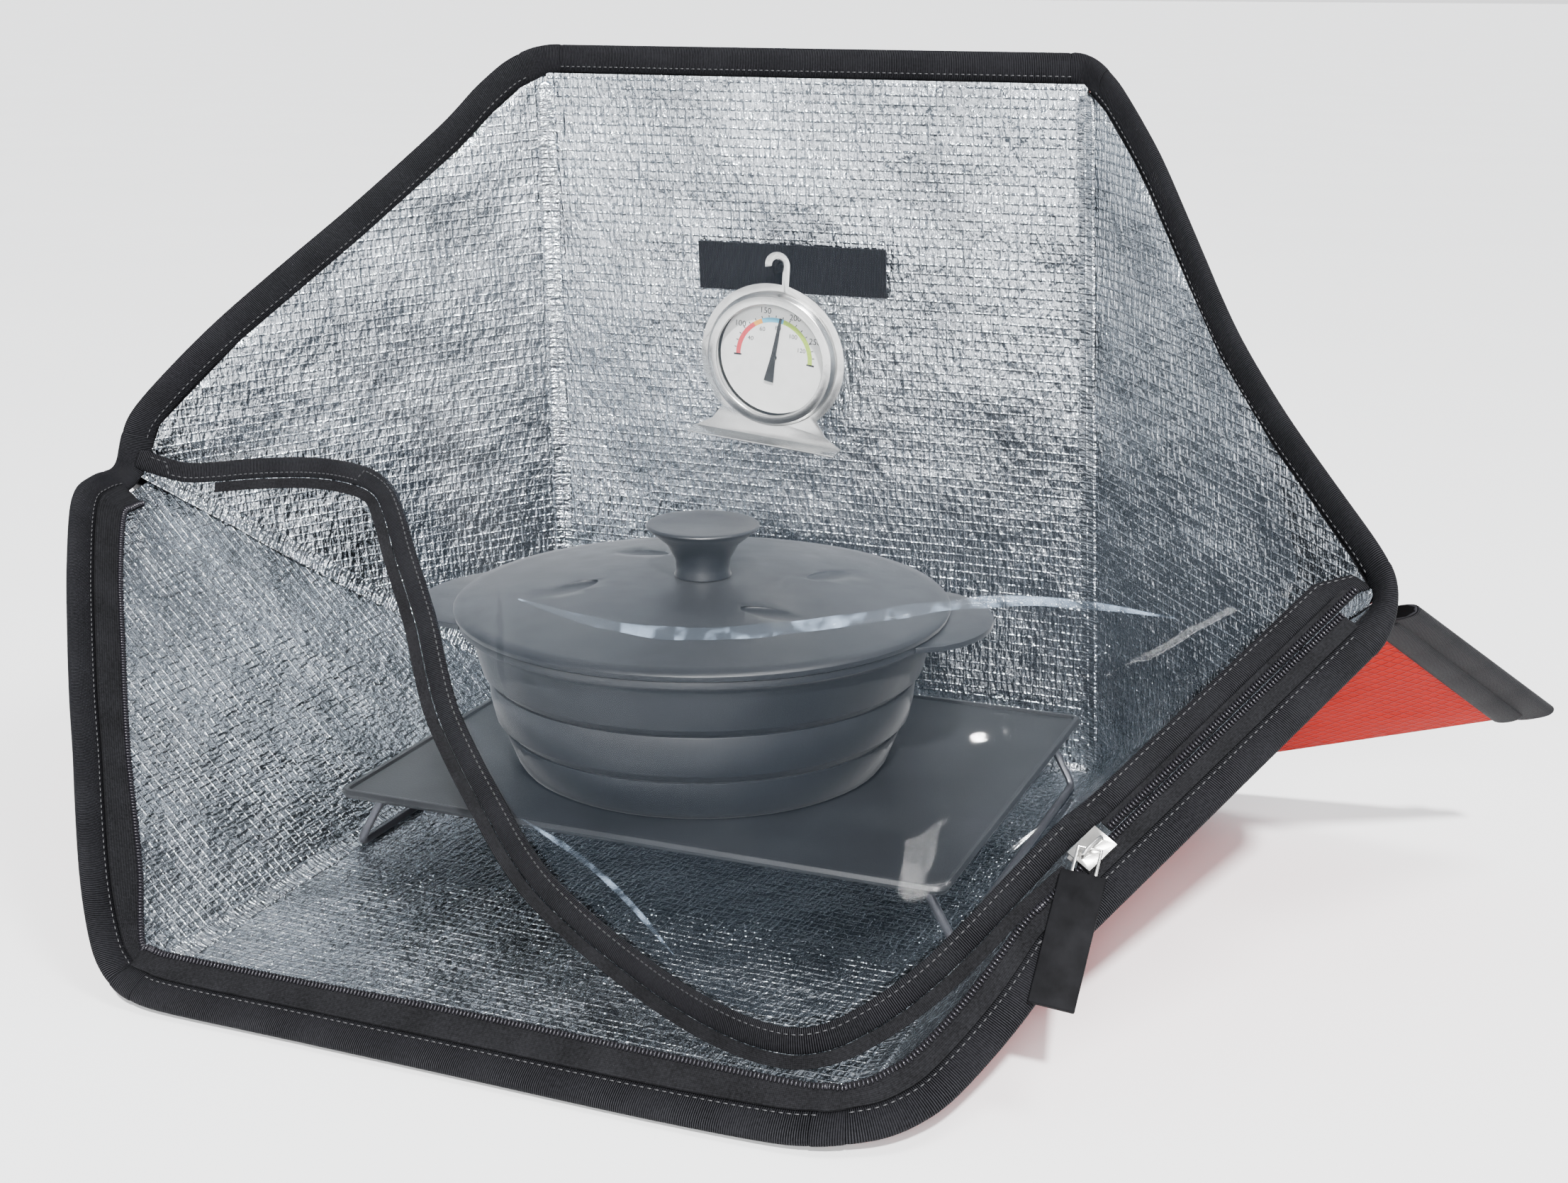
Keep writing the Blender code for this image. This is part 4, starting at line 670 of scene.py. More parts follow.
def slab(name, node, deep=0.0, cell=0.011, amount=0.0, outward=False, seed=0.0):
    """A panel layer cut into cells, with its face sunk or puffed between its edges."""
    work = merged(node)
    bmesh.ops.dissolve_limit(work, angle_limit=math.radians(0.5), verts=work.verts,
                             edges=work.edges)
    pair = sorted(work.faces, key=lambda face: -face.calc_area())[:2]
    inner = max(pair, key=lambda face: face.normal.dot(INSIDE - face.calc_center_median()))
    normal = inner.normal.copy()
    facing = -normal if outward else normal
    level = max(vert.co.dot(facing) for vert in work.verts) - SKIN
    if deep:
        for vert in work.verts:
            if vert.co.dot(facing) < level:
                vert.co -= facing * deep
    one = Vector((1, 0, 0)) if abs(normal.x) < 0.8 else Vector((0, 1, 0))
    one = (one - normal * one.dot(normal)).normalized()
    two = normal.cross(one)
    cut_in_cells(work, (one, two), cell)
    work.normal_update()
    pad_face(work, facing, level, facing * (amount if outward else -amount), one, two, seed)
    map_flat(work, one, two)
    return smooth(new_piece(name, work), 60.0)


# Cross sections of the bindings and tapes, read from the frame's sweeps

def middle(ring):
    return sum(ring, Vector()) / len(ring)


def moved(ring, shift):
    return [point + shift for point in ring]


def end_caps(work, count):
    """Flat regions with this many corners, likely to be a sweep's ends, smallest first."""
    caps = []
    for flatness in (0.999995, 0.9995, 0.995):
        seen = set()
        for face in work.faces:
            if face.index in seen:
                continue
            region, front = {face}, [face]
            seen.add(face.index)
            while front:
                for line in front.pop().edges:
                    for other in line.link_faces:
                        if other.index not in seen and other.normal.dot(face.normal) > flatness:
                            seen.add(other.index)
                            region.add(other)
                            front.append(other)
            corners = {vert for one in region for vert in one.verts}
            if len(corners) == count:
                caps.append(sorted(corners, key=lambda vert: tuple(vert.co)))
    return sorted(caps, key=lambda cap: max((a.co - b.co).length for a in cap for b in cap))


def layers_from(cap):
    """The vertices of a sweep in layers, counted along its edges from one end."""
    used, layers, ring = set(cap), [], cap
    while ring:
        layers.append(ring)
        ahead = {line.other_vert(vert) for vert in ring for line in vert.link_edges} - used
        used |= ahead
        ring = sorted(ahead, key=lambda vert: tuple(vert.co))
    return layers


def ring_order(ring):
    """The places of one cross section's vertices in order round it."""
    inside = set(ring)
    beside = {}
    for vert in ring:
        for line in vert.link_edges:
            other = line.other_vert(vert)
            if other in inside and any(any(v not in inside for v in face.verts)
                                       for face in line.link_faces):
                beside.setdefault(vert, []).append(other)
    order = [ring[0]]
    while len(order) < len(ring):
        following = [vert for vert in beside[order[-1]] if vert not in order]
        order.append(following[0])
    return [vert.co.copy() for vert in order]


def matched(ring, model, shift=Vector()):
    """The order round a ring that lies closest to another, whether it was flipped, its start."""
    best = None
    for flipped in (False, True):
        order = ring[::-1] if flipped else ring
        for start in range(len(ring)):
            turned = order[start:] + order[:start]
            far = sum((a + shift - b).length_squared for a, b in zip(turned, model))
            if best is None or far < best[0]:
                best = (far, turned, flipped, start)
    return best[1:]


def rings_of(node, count):
    """Cross sections of a swept node in order from end to end, each of count points."""
    work = merged(node)
    caps = end_caps(work, count)
    chosen = []
    for cap in caps:
        layers = layers_from(cap)
        whole = [layer for layer in layers if len(layer) == count]
        if len(whole) > len(chosen) and len(whole) >= len(layers) - 3:
            chosen = whole
    used = {vert for layer in chosen for vert in layer}
    rings = [ring_order(layer) for layer in chosen]
    for cap in caps:
        far = (middle([vert.co for vert in cap]) - middle(rings[-1])).length if rings else 0.0
        if far > 0.05 and not used & set(cap):
            rings.append(ring_order(cap))
            break
    work.free()
    for index in range(1, len(rings)):
        rings[index] = matched(rings[index], rings[index - 1])[0]
    return rings


def between(rings, step=SWEEP_STEP):
    """More cross sections on smooth lines through the given ones."""
    padded = [[2 * a - b for a, b in zip(rings[0], rings[1])]] + rings
    padded.append([2 * a - b for a, b in zip(rings[-1], rings[-2])])
    result = []
    for index in range(len(rings) - 1):
        p, q, r, s = padded[index:index + 4]
        far = max((b - a).length for a, b in zip(q, r))
        count = max(1, math.ceil(far / step))
        for number in range(count):
            t = number / count
            result.append([0.5 * (2 * b + (c - a) * t + (2 * a - 5 * b + 4 * c - d) * t * t
                                  + (3 * b - a - 3 * c + d) * t ** 3)
                           for a, b, c, d in zip(p, q, r, s)])
    result.append(rings[-1])
    return result


def scaled(ring, share):
    """A cross section made larger about its own middle."""
    centre = middle(ring)
    return [centre + (point - centre) * share for point in ring]


def reached(ring, panel):
    """The cross section of a binding with its inner side drawn further over its panel."""
    centre = middle(ring)
    inward = (middle([vert.co for vert in panel.data.vertices]) - centre).normalized()
    depths = [(point - centre).dot(inward) for point in ring]
    tall = max(abs(depth) for depth in depths)
    return [point + inward * BINDING_REACH * max(0.0, depth / tall)
            for point, depth in zip(ring, depths)]


def widened(rings, grow):
    """The sweep made longer by a little at both ends."""
    start = (middle(rings[0]) - middle(rings[1])).normalized() * grow
    end = (middle(rings[-1]) - middle(rings[-2])).normalized() * grow
    return [moved(rings[0], start)] + rings + [moved(rings[-1], end)]


def bend(first, second, cut=2, step=8):
    """Cross sections that lead from one sweep's end smoothly round to the next one's."""
    pairs = [((middle(first[i]) - middle(second[j])).length, i, j) for i in (0, -1)
             for j in (0, -1)]
    i, j = min(pairs)[1:]
    first = first if i == -1 else first[::-1]
    second = second if j == 0 else second[::-1]
    cut_a, cut_b = min(cut, len(first) - 2), min(cut, len(second) - 2)
    before, a = first[-2 - cut_a], first[-1 - cut_a]
    b, ahead = second[cut_b], second[cut_b + 1]
    b, flipped, start = matched(b, a, middle(a) - middle(b))
    ahead = ahead[::-1] if flipped else ahead
    ahead = ahead[start:] + ahead[:start]
    pull = (middle(b) - middle(a)).length * 1.15
    rings = [before]
    for number in range(step + 1):
        t = number / step
        ring = []
        for p, q, r, s in zip(before, a, b, ahead):
            go, come = (q - p).normalized() * pull, (s - r).normalized() * pull
            ring.append((2 * t ** 3 - 3 * t * t + 1) * q + (t ** 3 - 2 * t * t + t) * go
                        + (3 * t * t - 2 * t ** 3) * r + (t ** 3 - t * t) * come)
        rings.append(ring)
    rings.append(ahead)
    return [scaled(ring, TURN_SWELL) for ring in rings]


def zip_rings(node):
    """The tape's cross sections, beginning at the sewn side and going out under the coil."""
    rings = rings_of(node, 6)
    if not rings:
        rings = rings_of(node, 8)
        first = rings[0]
        sides = [(first[i] - first[(i + 1) % 8]).length for i in range(8)]
        far = max(range(8), key=lambda i: sides[i - 1] + sides[i] + sides[(i + 1) % 8])
        order = [(far + 1 + i) % 8 for i in (3, 0, 7, 6, 5, 4)]
        return [[ring[i] for i in order] for ring in rings]
    first = rings[0]
    sides = [(first[i] - first[(i + 1) % 6]).length for i in range(6)]
    a = sides.index(min(sides))
    b = (a + 1) % 6
    if (first[(b + 1) % 6] - first[b]).length < (first[(a - 1) % 6] - first[a]).length:
        order = [a] + [(a - i) % 6 for i in range(1, 5)] + [b]
    else:
        order = [b] + [(b + i) % 6 for i in range(1, 5)] + [a]
    return [[ring[i] for i in order] for ring in rings]


# Pieces made from cross sections

def band(name, rings, rounds=1):
    """Closed sweep through cross sections, with a cloth map along and across it."""
    work = bmesh.new()
    layer = work.loops.layers.uv.new("cloth")
    rows = [[work.verts.new(point) for point in ring] for ring in rings]
    along = [0.0]
    for ring, following in zip(rings, rings[1:]):
        along.append(along[-1] + (middle(following) - middle(ring)).length)
    girth = [0.0]
    for a, b in zip(rings[0], rings[0][1:] + rings[0][:1]):
        girth.append(girth[-1] + (b - a).length)
    count = len(rows[0])
    for number, (row, following) in enumerate(zip(rows, rows[1:])):
        for index in range(count):
            after = (index + 1) % count
            face = work.faces.new((row[index], row[after], following[after], following[index]))
            places = ((number, index), (number, index + 1), (number + 1, index + 1),
                      (number + 1, index))
            for corner, (at, across) in zip(face.loops, places):
                corner[layer].uv = (along[at], girth[across])
    work.faces.new(list(reversed(rows[0])))
    work.faces.new(rows[-1])
    bmesh.ops.recalc_face_normals(work, faces=work.faces)
    piece = new_piece(name, work)
    if rounds:
        subdivide(piece, rounds)
    return smooth(piece, 50.0)


def tape_band(name, rings):
    """The flat tape of a zip, without the rise under its coil."""
    return band(name, [[ring[0], ring[1], ring[1] + (ring[5] - ring[0]), ring[5]]
                       for ring in rings], 0)


def bead(work, spot, axes, sizes):
    """One small rounded turn of coil or thread, set along, across and up."""
    turn = Matrix(axes).transposed().to_4x4()
    bmesh.ops.create_icosphere(work, subdivisions=1, radius=1.0,
                               matrix=Matrix.Translation(spot) @ turn
                               @ Matrix.Diagonal((*sizes, 1.0)))


def beads_done(name, work):
    bmesh.ops.recalc_face_normals(work, faces=work.faces)
    return smooth(new_piece(name, work), 80.0)


def teeth(name, rings, pitch):
    """The coil's turns along the free edge of a tape, as one piece."""
    centres = [(ring[1] + ring[2] + ring[3] + ring[4]) / 4 for ring in rings]
    work = bmesh.new()
    left = pitch / 2
    for ring, here, there in zip(rings, centres, centres[1:]):
        span = (there - here).length
        across = (ring[2] - ring[3]).normalized()
        rise = (ring[2] - ring[1]).normalized()
        along = (there - here).normalized()
        across = (across - along * across.dot(along)).normalized()
        up = along.cross(across)
        up = up if up.dot(rise) > 0 else -up
        while left <= span:
            bead(work, here + along * left, (along, across, up),
                 (pitch * BEAD_SHARE, COIL_WIDTH, COIL_RISE))
            left += pitch
        left -= span
    return beads_done(name, work)


def stitch_place(ring, side):
    """Where a row of thread crosses one cross section, with the ways out and across."""
    a, b = ring[side], ring[(side + 1) % len(ring)]
    near, far = (a, b) if (a - INSIDE).length < (b - INSIDE).length else (b, a)
    spot = near.lerp(far, 0.16)
    across = (far - near).normalized()
    out = spot - middle(ring)
    out = (out - across * out.dot(across)).normalized()
    return spot + out * 0.00012, out


def stitches(name, rings, body=None):
    """Two rows of thread along a folded binding, one on each face, near its inner edge."""
    first = rings[0]
    count = len(first)
    sides = sorted(range(count), key=lambda i: -(first[i] - first[(i + 1) % count]).length)[:2]
    work = bmesh.new()
    for side in sides:
        left = STITCH_PITCH
        for ring, following in zip(rings, rings[1:]):
            here, out = stitch_place(ring, side)
            there = stitch_place(following, side)[0]
            span = (there - here).length
            along = (there - here).normalized()
            across = along.cross(out).normalized()
            up = across.cross(along)
            while left <= span:
                bead(work, here + along * left, (along, across, up),
                     (STITCH_PITCH * BEAD_SHARE, THREAD_WIDTH, THREAD_RISE))
                left += STITCH_PITCH
            left -= span
    dress(beads_done(name, work), body, "sewing_thread", "binding")


def fold_strip(name, start, end, first, second, body):
    """Lapped foil over the fold between two panels, each given by a point on it."""
    along = (end - start).normalized()
    arms = []
    for point in (first, second):
        arm = ((point - start) - along * (point - start).dot(along)).normalized()
        up = along.cross(arm)
        up = up if up.dot(INSIDE - start) > 0 else -up
        arms.append((arm, up.normalized()))
    (a, up_a), (b, up_b) = arms
    top = (up_a + up_b).normalized()
    count = max(8, int((end - start).length / 0.008))
    rings = []
    for step in range(count + 1):
        spot = start.lerp(end, step / count)
        wave = 0.0010 * noise.noise(spot * 60.0)
        wide = FOLD_WIDTH + wave
        ridge = spot + top * (FOLD_RISE + wave * 0.3)
        rings.append([spot + a * wide + up_a * 0.00025, ridge + a * FOLD_RIDGE,
                      ridge + b * FOLD_RIDGE, spot + b * wide + up_b * 0.00025,
                      spot + b * wide - up_b * FOLD_RISE, spot - top * FOLD_DEPTH,
                      spot + a * wide - up_a * FOLD_RISE])
    dress(band(name, rings), body, "embossed_foil", "foil_liner")


def film_crease(name, points, wide, high):
    """A soft ridge pressed into the clear sheet along a line of points."""
    path = [ring[0] for ring in between([[Vector(point)] for point in points], 0.004)]
    rings = []
    for index, spot in enumerate(path):
        ahead, behind = path[min(index + 1, len(path) - 1)], path[max(index - 1, 0)]
        along = (ahead - behind).normalized()
        side = along.cross(Vector((0.0, -0.6, 0.8))).normalized()
        up = side.cross(along)
        part = min(1.0, 4.0 * min(index, len(path) - 1 - index) / len(path) + 0.12)
        out = side * wide * part * (1.0 + 0.35 * noise.noise(spot * 55.0))
        rise = up * high * part
        rings.append([spot - out, spot - out * 0.4 + rise * 0.8, spot + rise,
                      spot + out * 0.4 + rise * 0.8, spot + out, spot - up * 0.0004])
    dress(band(name, rings), None, "painted_glint_vinyl", "clear_sheet")


# Operators

class ShellPanels(bpy.types.Operator):
    """Foil faces and ripstop covers of the six panels"""
    bl_idname = "solar_oven.panels"
    bl_label = "Shell panels"

    def execute(self, context):
        looks = context.scene.oven.shell
        for number, (panel, body) in enumerate(PANEL_BODIES.items()):
            liner = panel + "_liner"
            foil = slab(panel + "_foil", liner, 0.0026, 0.010, looks.sag, seed=number * 3.1)
            dress(foil, body, "embossed_foil", "foil_liner", liner, panel + "_core")
            self.darken_sides(foil)
            puff = 0.0 if panel == "floor" else looks.puff
            cover = slab(panel + "_red", panel + "_cover", 0.0, 0.016, puff, True, number * 5.7)
            dress(cover, body, "red_ripstop", "red_cover", panel + "_cover")
        return {"FINISHED"}

    @staticmethod
    def darken_sides(foil):
        """Woven tape on the cut sides and the back of a foil face."""
        foil.data.materials.append(bpy.data.materials["woven_tape"])
        faces = foil.data.polygons
        front = max(faces, key=lambda face: face.area * face.normal.dot(INSIDE - face.center))
        normal = front.normal.copy()
        for face in faces:
            if face.normal.dot(normal) < 0.6:
                face.material_index = 1


class ShellFolds(bpy.types.Operator):
    """Lapped foil along the folds between the panels"""
    bl_idname = "solar_oven.folds"
    bl_label = "Foil folds"

    def execute(self, context):
        for side, word in ((-1.0, "left"), (1.0, "right")):
            low, front, top, notch = (Vector((side * spot.x, spot.y, spot.z)) for spot in
                                      (FLOOR_CORNER, FRONT_CORNER, TOP_CORNER, NOTCH))
            fold_strip("fold_floor_" + word, low, front, FLOOR_MIDDLE, notch, "lower_" + word)
            fold_strip("fold_back_" + word, low, top, BACK_MIDDLE, notch, "upper_" + word)
            fold_strip("fold_notch_" + word, low, notch, front, top, "lower_" + word)
        left = Vector((-BACK_FOLD_END.x, BACK_FOLD_END.y, BACK_FOLD_END.z))
        fold_strip("fold_floor_back", left, BACK_FOLD_END, FLOOR_MIDDLE, BACK_TOP, "reflector")
        return {"FINISHED"}


class ShellEars(bpy.types.Operator):
    """Pinched cover between the lower and the upper panel on each side"""
    bl_idname = "solar_oven.ears"
    bl_label = "Folded ears"

    def execute(self, context):
        looks = context.scene.oven.shell
        for number, side in enumerate(("left", "right")):
            body, cloth = "lower_" + side, "gusset_" + side
            ear = slab("ear_" + side, cloth, 0.0, 0.010, looks.puff, True, number * 7.3)
            dress(ear, body, "red_ripstop", "red_cover", cloth)
            rings = rings_of(cloth + "_binding", 8)
            trim = band("ear_edge_" + side, between(widened(rings, 0.002), 0.006), 2)
            dress(trim, body, "ribbed_binding", "binding", cloth + "_binding")
            under = band("ear_fold_" + side, self.under_fold(rings, NODES[cloth]), 2)
            dress(under, body, "ribbed_binding", "binding")
        return {"FINISHED"}

    @staticmethod
    def under_fold(rings, cloth):
        """Cross sections of the second, thicker fold that shows under the ear's binding."""
        start, end = middle(rings[0]), middle(rings[-1])
        axis = (end - start).normalized()
        inward = middle([vert.co for vert in cloth.data.vertices]) - start
        inward = (inward - axis * inward.dot(axis)).normalized()
        normal = axis.cross(inward)
        offsets = moved(rings[0], -start)
        under = []
        for share in (0.0, 0.1, 0.3, 0.5, 0.7, 0.9, 0.98):
            spot = start.lerp(end, share) + inward * (0.0062 + 0.0030 * share)
            under.append([spot + inward * point.dot(inward) * 0.80
                          + normal * point.dot(normal) * (1.35 + 0.3 * share)
                          for point in offsets])
        return between(under, 0.006)


class ShellEdges(bpy.types.Operator):
    """Ribbed binding folded over every free edge"""
    bl_idname = "solar_oven.edges"
    bl_label = "Bound edges"

    def execute(self, context):
        sweeps = {}
        for node, body in EDGE_BODIES.items():
            rings = between(rings_of(node, 8))
            if node == "closed_binding":
                head = moved(rings[0], CLOSED_EDGE_START - middle(rings[0]))
                rings = between([head, rings[0]]) + rings[1:]
            else:
                rings = [scaled(ring, BINDING_SWELL) for ring in rings]
            if node.startswith("upper_"):
                rings = [reached(ring, NODES[node.replace("binding", "cover")]) for ring in rings]
            sweeps[node] = rings
            run = rings if node == "closed_binding" else rings[2:-2]
            edge = band(node.replace("_binding", "_edge"), run)
            dress(edge, body, "ribbed_binding", "binding", node)
            stitches(node.replace("_binding", "_seam"), run, body)
        sweeps["window_binding"] = between(rings_of("window_binding", 8))
        for name, one, other in EDGE_TURNS:
            turn = band(name, bend(sweeps[one + "_binding"], sweeps[other + "_binding"]))
            dress(turn, EDGE_BODIES[other + "_binding"], "ribbed_binding", "binding")
        return {"FINISHED"}


class ZipStretches(bpy.types.Operator):
    """Woven tapes and moulded coils of the window's zip"""
    bl_idname = "solar_oven.zips"
    bl_label = "Zip tapes and coils"

    def execute(self, context):
        pitch = context.scene.oven.zips.tooth_pitch
        sweeps = {node: between(self.lengthened(node, zip_rings(node))) for node in ZIP_BODIES}
        for side in ("left", "right"):
            body = "lower_" + side
            rings = bend(sweeps["front_zip"], sweeps[body + "_zip"], 1)
            dress(tape_band("turn_tape_" + side, rings), body, "woven_tape", "zip_tape")
            dress(teeth("turn_coil_" + side, rings, pitch), body, "zip_tooth", "zip_tape")
        for node, body in ZIP_BODIES.items():
            rings = sweeps[node]
            if node in ("front_zip", "lower_left_zip", "lower_right_zip"):
                rings = rings[1:-1]
            tape = tape_band(node + "_tape", rings)
            coil = teeth(node + "_coil", rings, pitch)
            dress(tape, body, "woven_tape", "zip_tape", node)
            dress(coil, body, "zip_tooth", "zip_tape")
        return {"FINISHED"}

    @staticmethod
    def lengthened(node, rings):
        """A stretch of zip drawn on to where it meets its notch or the slider."""
        last = rings[-1]
        if node == "lower_left_zip":
            shift = (middle(last) - middle(rings[-2])) * 0.88
            return rings[:-1] + [moved(rings[-2], shift)]
        if node == "closed_zip":
            shift = (middle(last) - middle(rings[0])).normalized() * 0.009
            return rings[:-1] + [moved(last, shift)]
        if node == "window_zip":
            shift = WINDOW_ZIP_END - middle(last)
            return rings + [moved(last, shift * 0.5), moved(last, shift)]
        return rings


class WindowSheet(bpy.types.Operator):
    """Clear sheet over the cooking space, with its bound free edge"""
    bl_idname = "solar_oven.window"
    bl_label = "Clear window"

    def execute(self, context):
        sheet = new_piece("clear_window", merged("window_sheet"))
        subdivide(sheet, 1)
        smooth(sheet, 60.0)
        sheet.data.materials.append(bpy.data.materials["clear_vinyl"])
        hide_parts("window_sheet")
        window_follows(sheet)
        rings = rings_of("window_binding", 8)
        trim = band("window_edge", between(widened(rings, 0.0045), 0.004))
        dress(trim, None, "ribbed_binding", "binding", "window_binding")
        stitches("window_seam", between(rings, 0.004))
        film_crease("window_fold_back", BACK_CREASE, 0.0042, 0.0016)
        film_crease("window_fold_front", FRONT_CREASE, 0.0016, 0.0010)
        return {"FINISHED"}


class ZipSlider(bpy.types.Operator):
    """Nickel slider with its link and the rubber pull tab"""
    bl_idname = "solar_oven.slider"
    bl_label = "Slider and pull tab"

    def execute(self, context):
        for node, name, body, finish, slot, bevel in (
                ("zip_slider", "slider_body", "slider", "bright_nickel", "nickel", 0.0004),
                ("puller", "slider_link", "tab", "bright_nickel", "nickel", 0.0),
                ("pull_tab", "pull_grip", "tab", "moulded_rubber", "tab_rubber", 0.0005)):
            dress(refined(name, node, bevel), body, finish, slot, node)
        return {"FINISHED"}


class LabelStrip(bpy.types.Operator):
    """Plain woven strip and cord loop that hold the thermometer"""
    bl_idname = "solar_oven.label"
    bl_label = "Hanging strip"

    def execute(self, context):
        strip = slab("hanging_strip", "label_strip", 0.0, 0.006, 0.0003, seed=2.0)
        dress(strip, "reflector", "ribbed_binding", "binding", "label_strip")
        loop = refined("hanging_loop", "hang_loop")
        subdivide(loop, 1)
        dress(loop, "reflector", "moulded_rubber", "binding", "hang_loop")
        return {"FINISHED"}


def on_dial(piece, lift=0.0):
    """Move a flat piece from the XY plane onto the dial, a little over its face."""
    face = max((vert.co - DIAL_CENTRE).dot(BACK_NORMAL)
               for vert in NODES["gauge_dial"].data.vertices)
    centre = DIAL_CENTRE + BACK_NORMAL * (face + lift)
    turn = Matrix((GAUGE_RIGHT, GAUGE_UP, BACK_NORMAL)).transposed().to_4x4()
    piece.data.transform(Matrix.Translation(centre) @ turn)
    return piece


def sector(name, low, high, start, end, thick=0.00006):
    """Flat part of a ring between two angles in degrees, clockwise from the top."""
    work = bmesh.new()
    count = max(2, int(abs(end - start) / 4))
    rows = []
    for step in range(count + 1):
        angle = math.radians(90 - start - (end - start) * step / count)
        rows.append([work.verts.new((radius * math.cos(angle), radius * math.sin(angle), z))
                     for radius, z in ((low, 0), (high, 0), (high, thick), (low, thick))])
    for row, following in zip(rows, rows[1:]):
        for index in range(4):
            after = (index + 1) % 4
            work.faces.new((row[index], row[after], following[after], following[index]))
    work.faces.new(rows[0])
    work.faces.new(rows[-1])
    bmesh.ops.recalc_face_normals(work, faces=work.faces)
    return new_piece(name, work)


def figure(name, text, size, radius, angle):
    """A number standing upright on the dial at an angle clockwise from the top."""
    only_select(None)
    bpy.ops.object.text_add()
    letters = bpy.context.object.data
    letters.body = text
    letters.size = size
    letters.align_x = "CENTER"
    letters.align_y = "CENTER"
    letters.extrude = 0.00004
    bpy.ops.object.convert(target="MESH")
    mark = bpy.context.object
    mark.name = name
    turn = math.radians(90 - angle)
    mark.data.transform(Matrix.Translation((radius * math.cos(turn), radius * math.sin(turn), 0)))
    return mark


class Thermometer(bpy.types.Operator):
    """Stamped stand, case, dial with its printed scale, lens and pointer"""
    bl_idname = "solar_oven.thermometer"
    bl_label = "Thermometer"

    def execute(self, context):
        for node, name, body, finish, slot, bevel in (
                ("gauge_stand", "stamped_stand", "gauge", "stamped_steel", "gauge_steel", 0.0003),
                ("gauge_case", "gauge_cup", "gauge", "stamped_steel", "gauge_steel", 0.0003),
                ("gauge_bezel", "rolled_bezel", "gauge", "stamped_steel", "gauge_steel", 0.0003),
                ("gauge_lens", "glass_lens", "gauge", "clear_lens", "gauge_glass", 0.0),
                ("gauge_dial", "dial_plate", "gauge", "dial_lacquer", "dial_white", 0.0),
                ("gauge_spiral", "bimetal_spiral", "gauge", "drawn_brass", "spring_brass", 0.0),
                ("gauge_pointer", "dial_pointer", "pointer", "black_ink", "pointer_black", 0.0)):
            dress(refined(name, node, bevel), body, finish, slot, node)
        self.print_bands()
        self.print_ticks()
        self.print_figures("outer_", (("100", -52), ("150", -14), ("200", 25), ("250", 62)),
                           0.0042, 0.0242)
        self.print_figures("inner_", (("40", -58), ("60", -27), ("80", 5), ("100", 38),
                                      ("120", 68)), 0.0032, 0.0155)
        return {"FINISHED"}

    @staticmethod
    def print_bands():
        for name, ink, start, end in (("burning", "red", -93, -36), ("hot", "orange", -36, -22),
                                      ("warm", "blue", -22, 12), ("cold", "green", 12, 93)):
            arc = on_dial(sector("scale_" + name, 0.0182, 0.0206, start, end))
            dress(arc, "gauge", "print_" + ink, "dial_white")

    @staticmethod
    def print_ticks():
        """Nineteen marks, the first and the last ones long and wide."""
        for number in range(19):
            angle = -93 + number * 186 / 18
            inner, half = (0.0176, 1.3) if number in (0, 18) else (0.0207, 0.6)
            tick = sector("tick_%02d" % number, inner, 0.0218, angle - half, angle + half, 0.00009)
            dress(on_dial(tick), "gauge", "black_ink", "pointer_black")

    @staticmethod
    def print_figures(word, figures, size, radius):
        for text, angle in figures:
            mark = on_dial(figure(word + text, text, size, radius, angle), 0.00004)
            dress(mark, "gauge", "black_ink", "pointer_black")


class Tray(bpy.types.Operator):
    """Coated tray with its rolled rim and two wire legs"""
    bl_idname = "solar_oven.tray"
    bl_label = "Tray"

    def execute(self, context):
        dress(refined("coated_tray", "tray_pan", 0.0003), "tray", "dark_coating", "tray_coating",
              "tray_pan")
        for side in ("left", "right"):
            dress(refined("wire_leg_" + side, "tray_leg_" + side), "tray", "drawn_wire",
                  "leg_wire", "tray_leg_" + side)
        return {"FINISHED"}


class CookingPot(bpy.types.Operator):
    """Collapsible pot and its lid with the knob"""
    bl_idname = "solar_oven.pot"
    bl_label = "Pot and lid"

    def execute(self, context):
        for node, name, body, bevel in (
                ("pot_base", "pot_cup", "pot", 0.0006),
                ("pot_web_lower", "lower_fold", "pot", 0.0),
                ("pot_web_upper", "upper_fold", "pot", 0.0),
                ("pot_band", "pot_middle_wall", "pot_middle", 0.0005),
                ("pot_rim", "pot_rim_wall", "pot_top", 0.0006),
                ("lid", "pot_cover", "pot_lid", 0.0004),
                ("lid_knob", "cover_knob", "pot_lid", 0.0006)):
            dress(refined(name, node, bevel), body, "matt_silicone", "silicone", node)
        dress(refined("cover_screw", "knob_screw"), "pot_lid", "stamped_steel", "gauge_steel",
              "knob_screw")
        return {"FINISHED"}


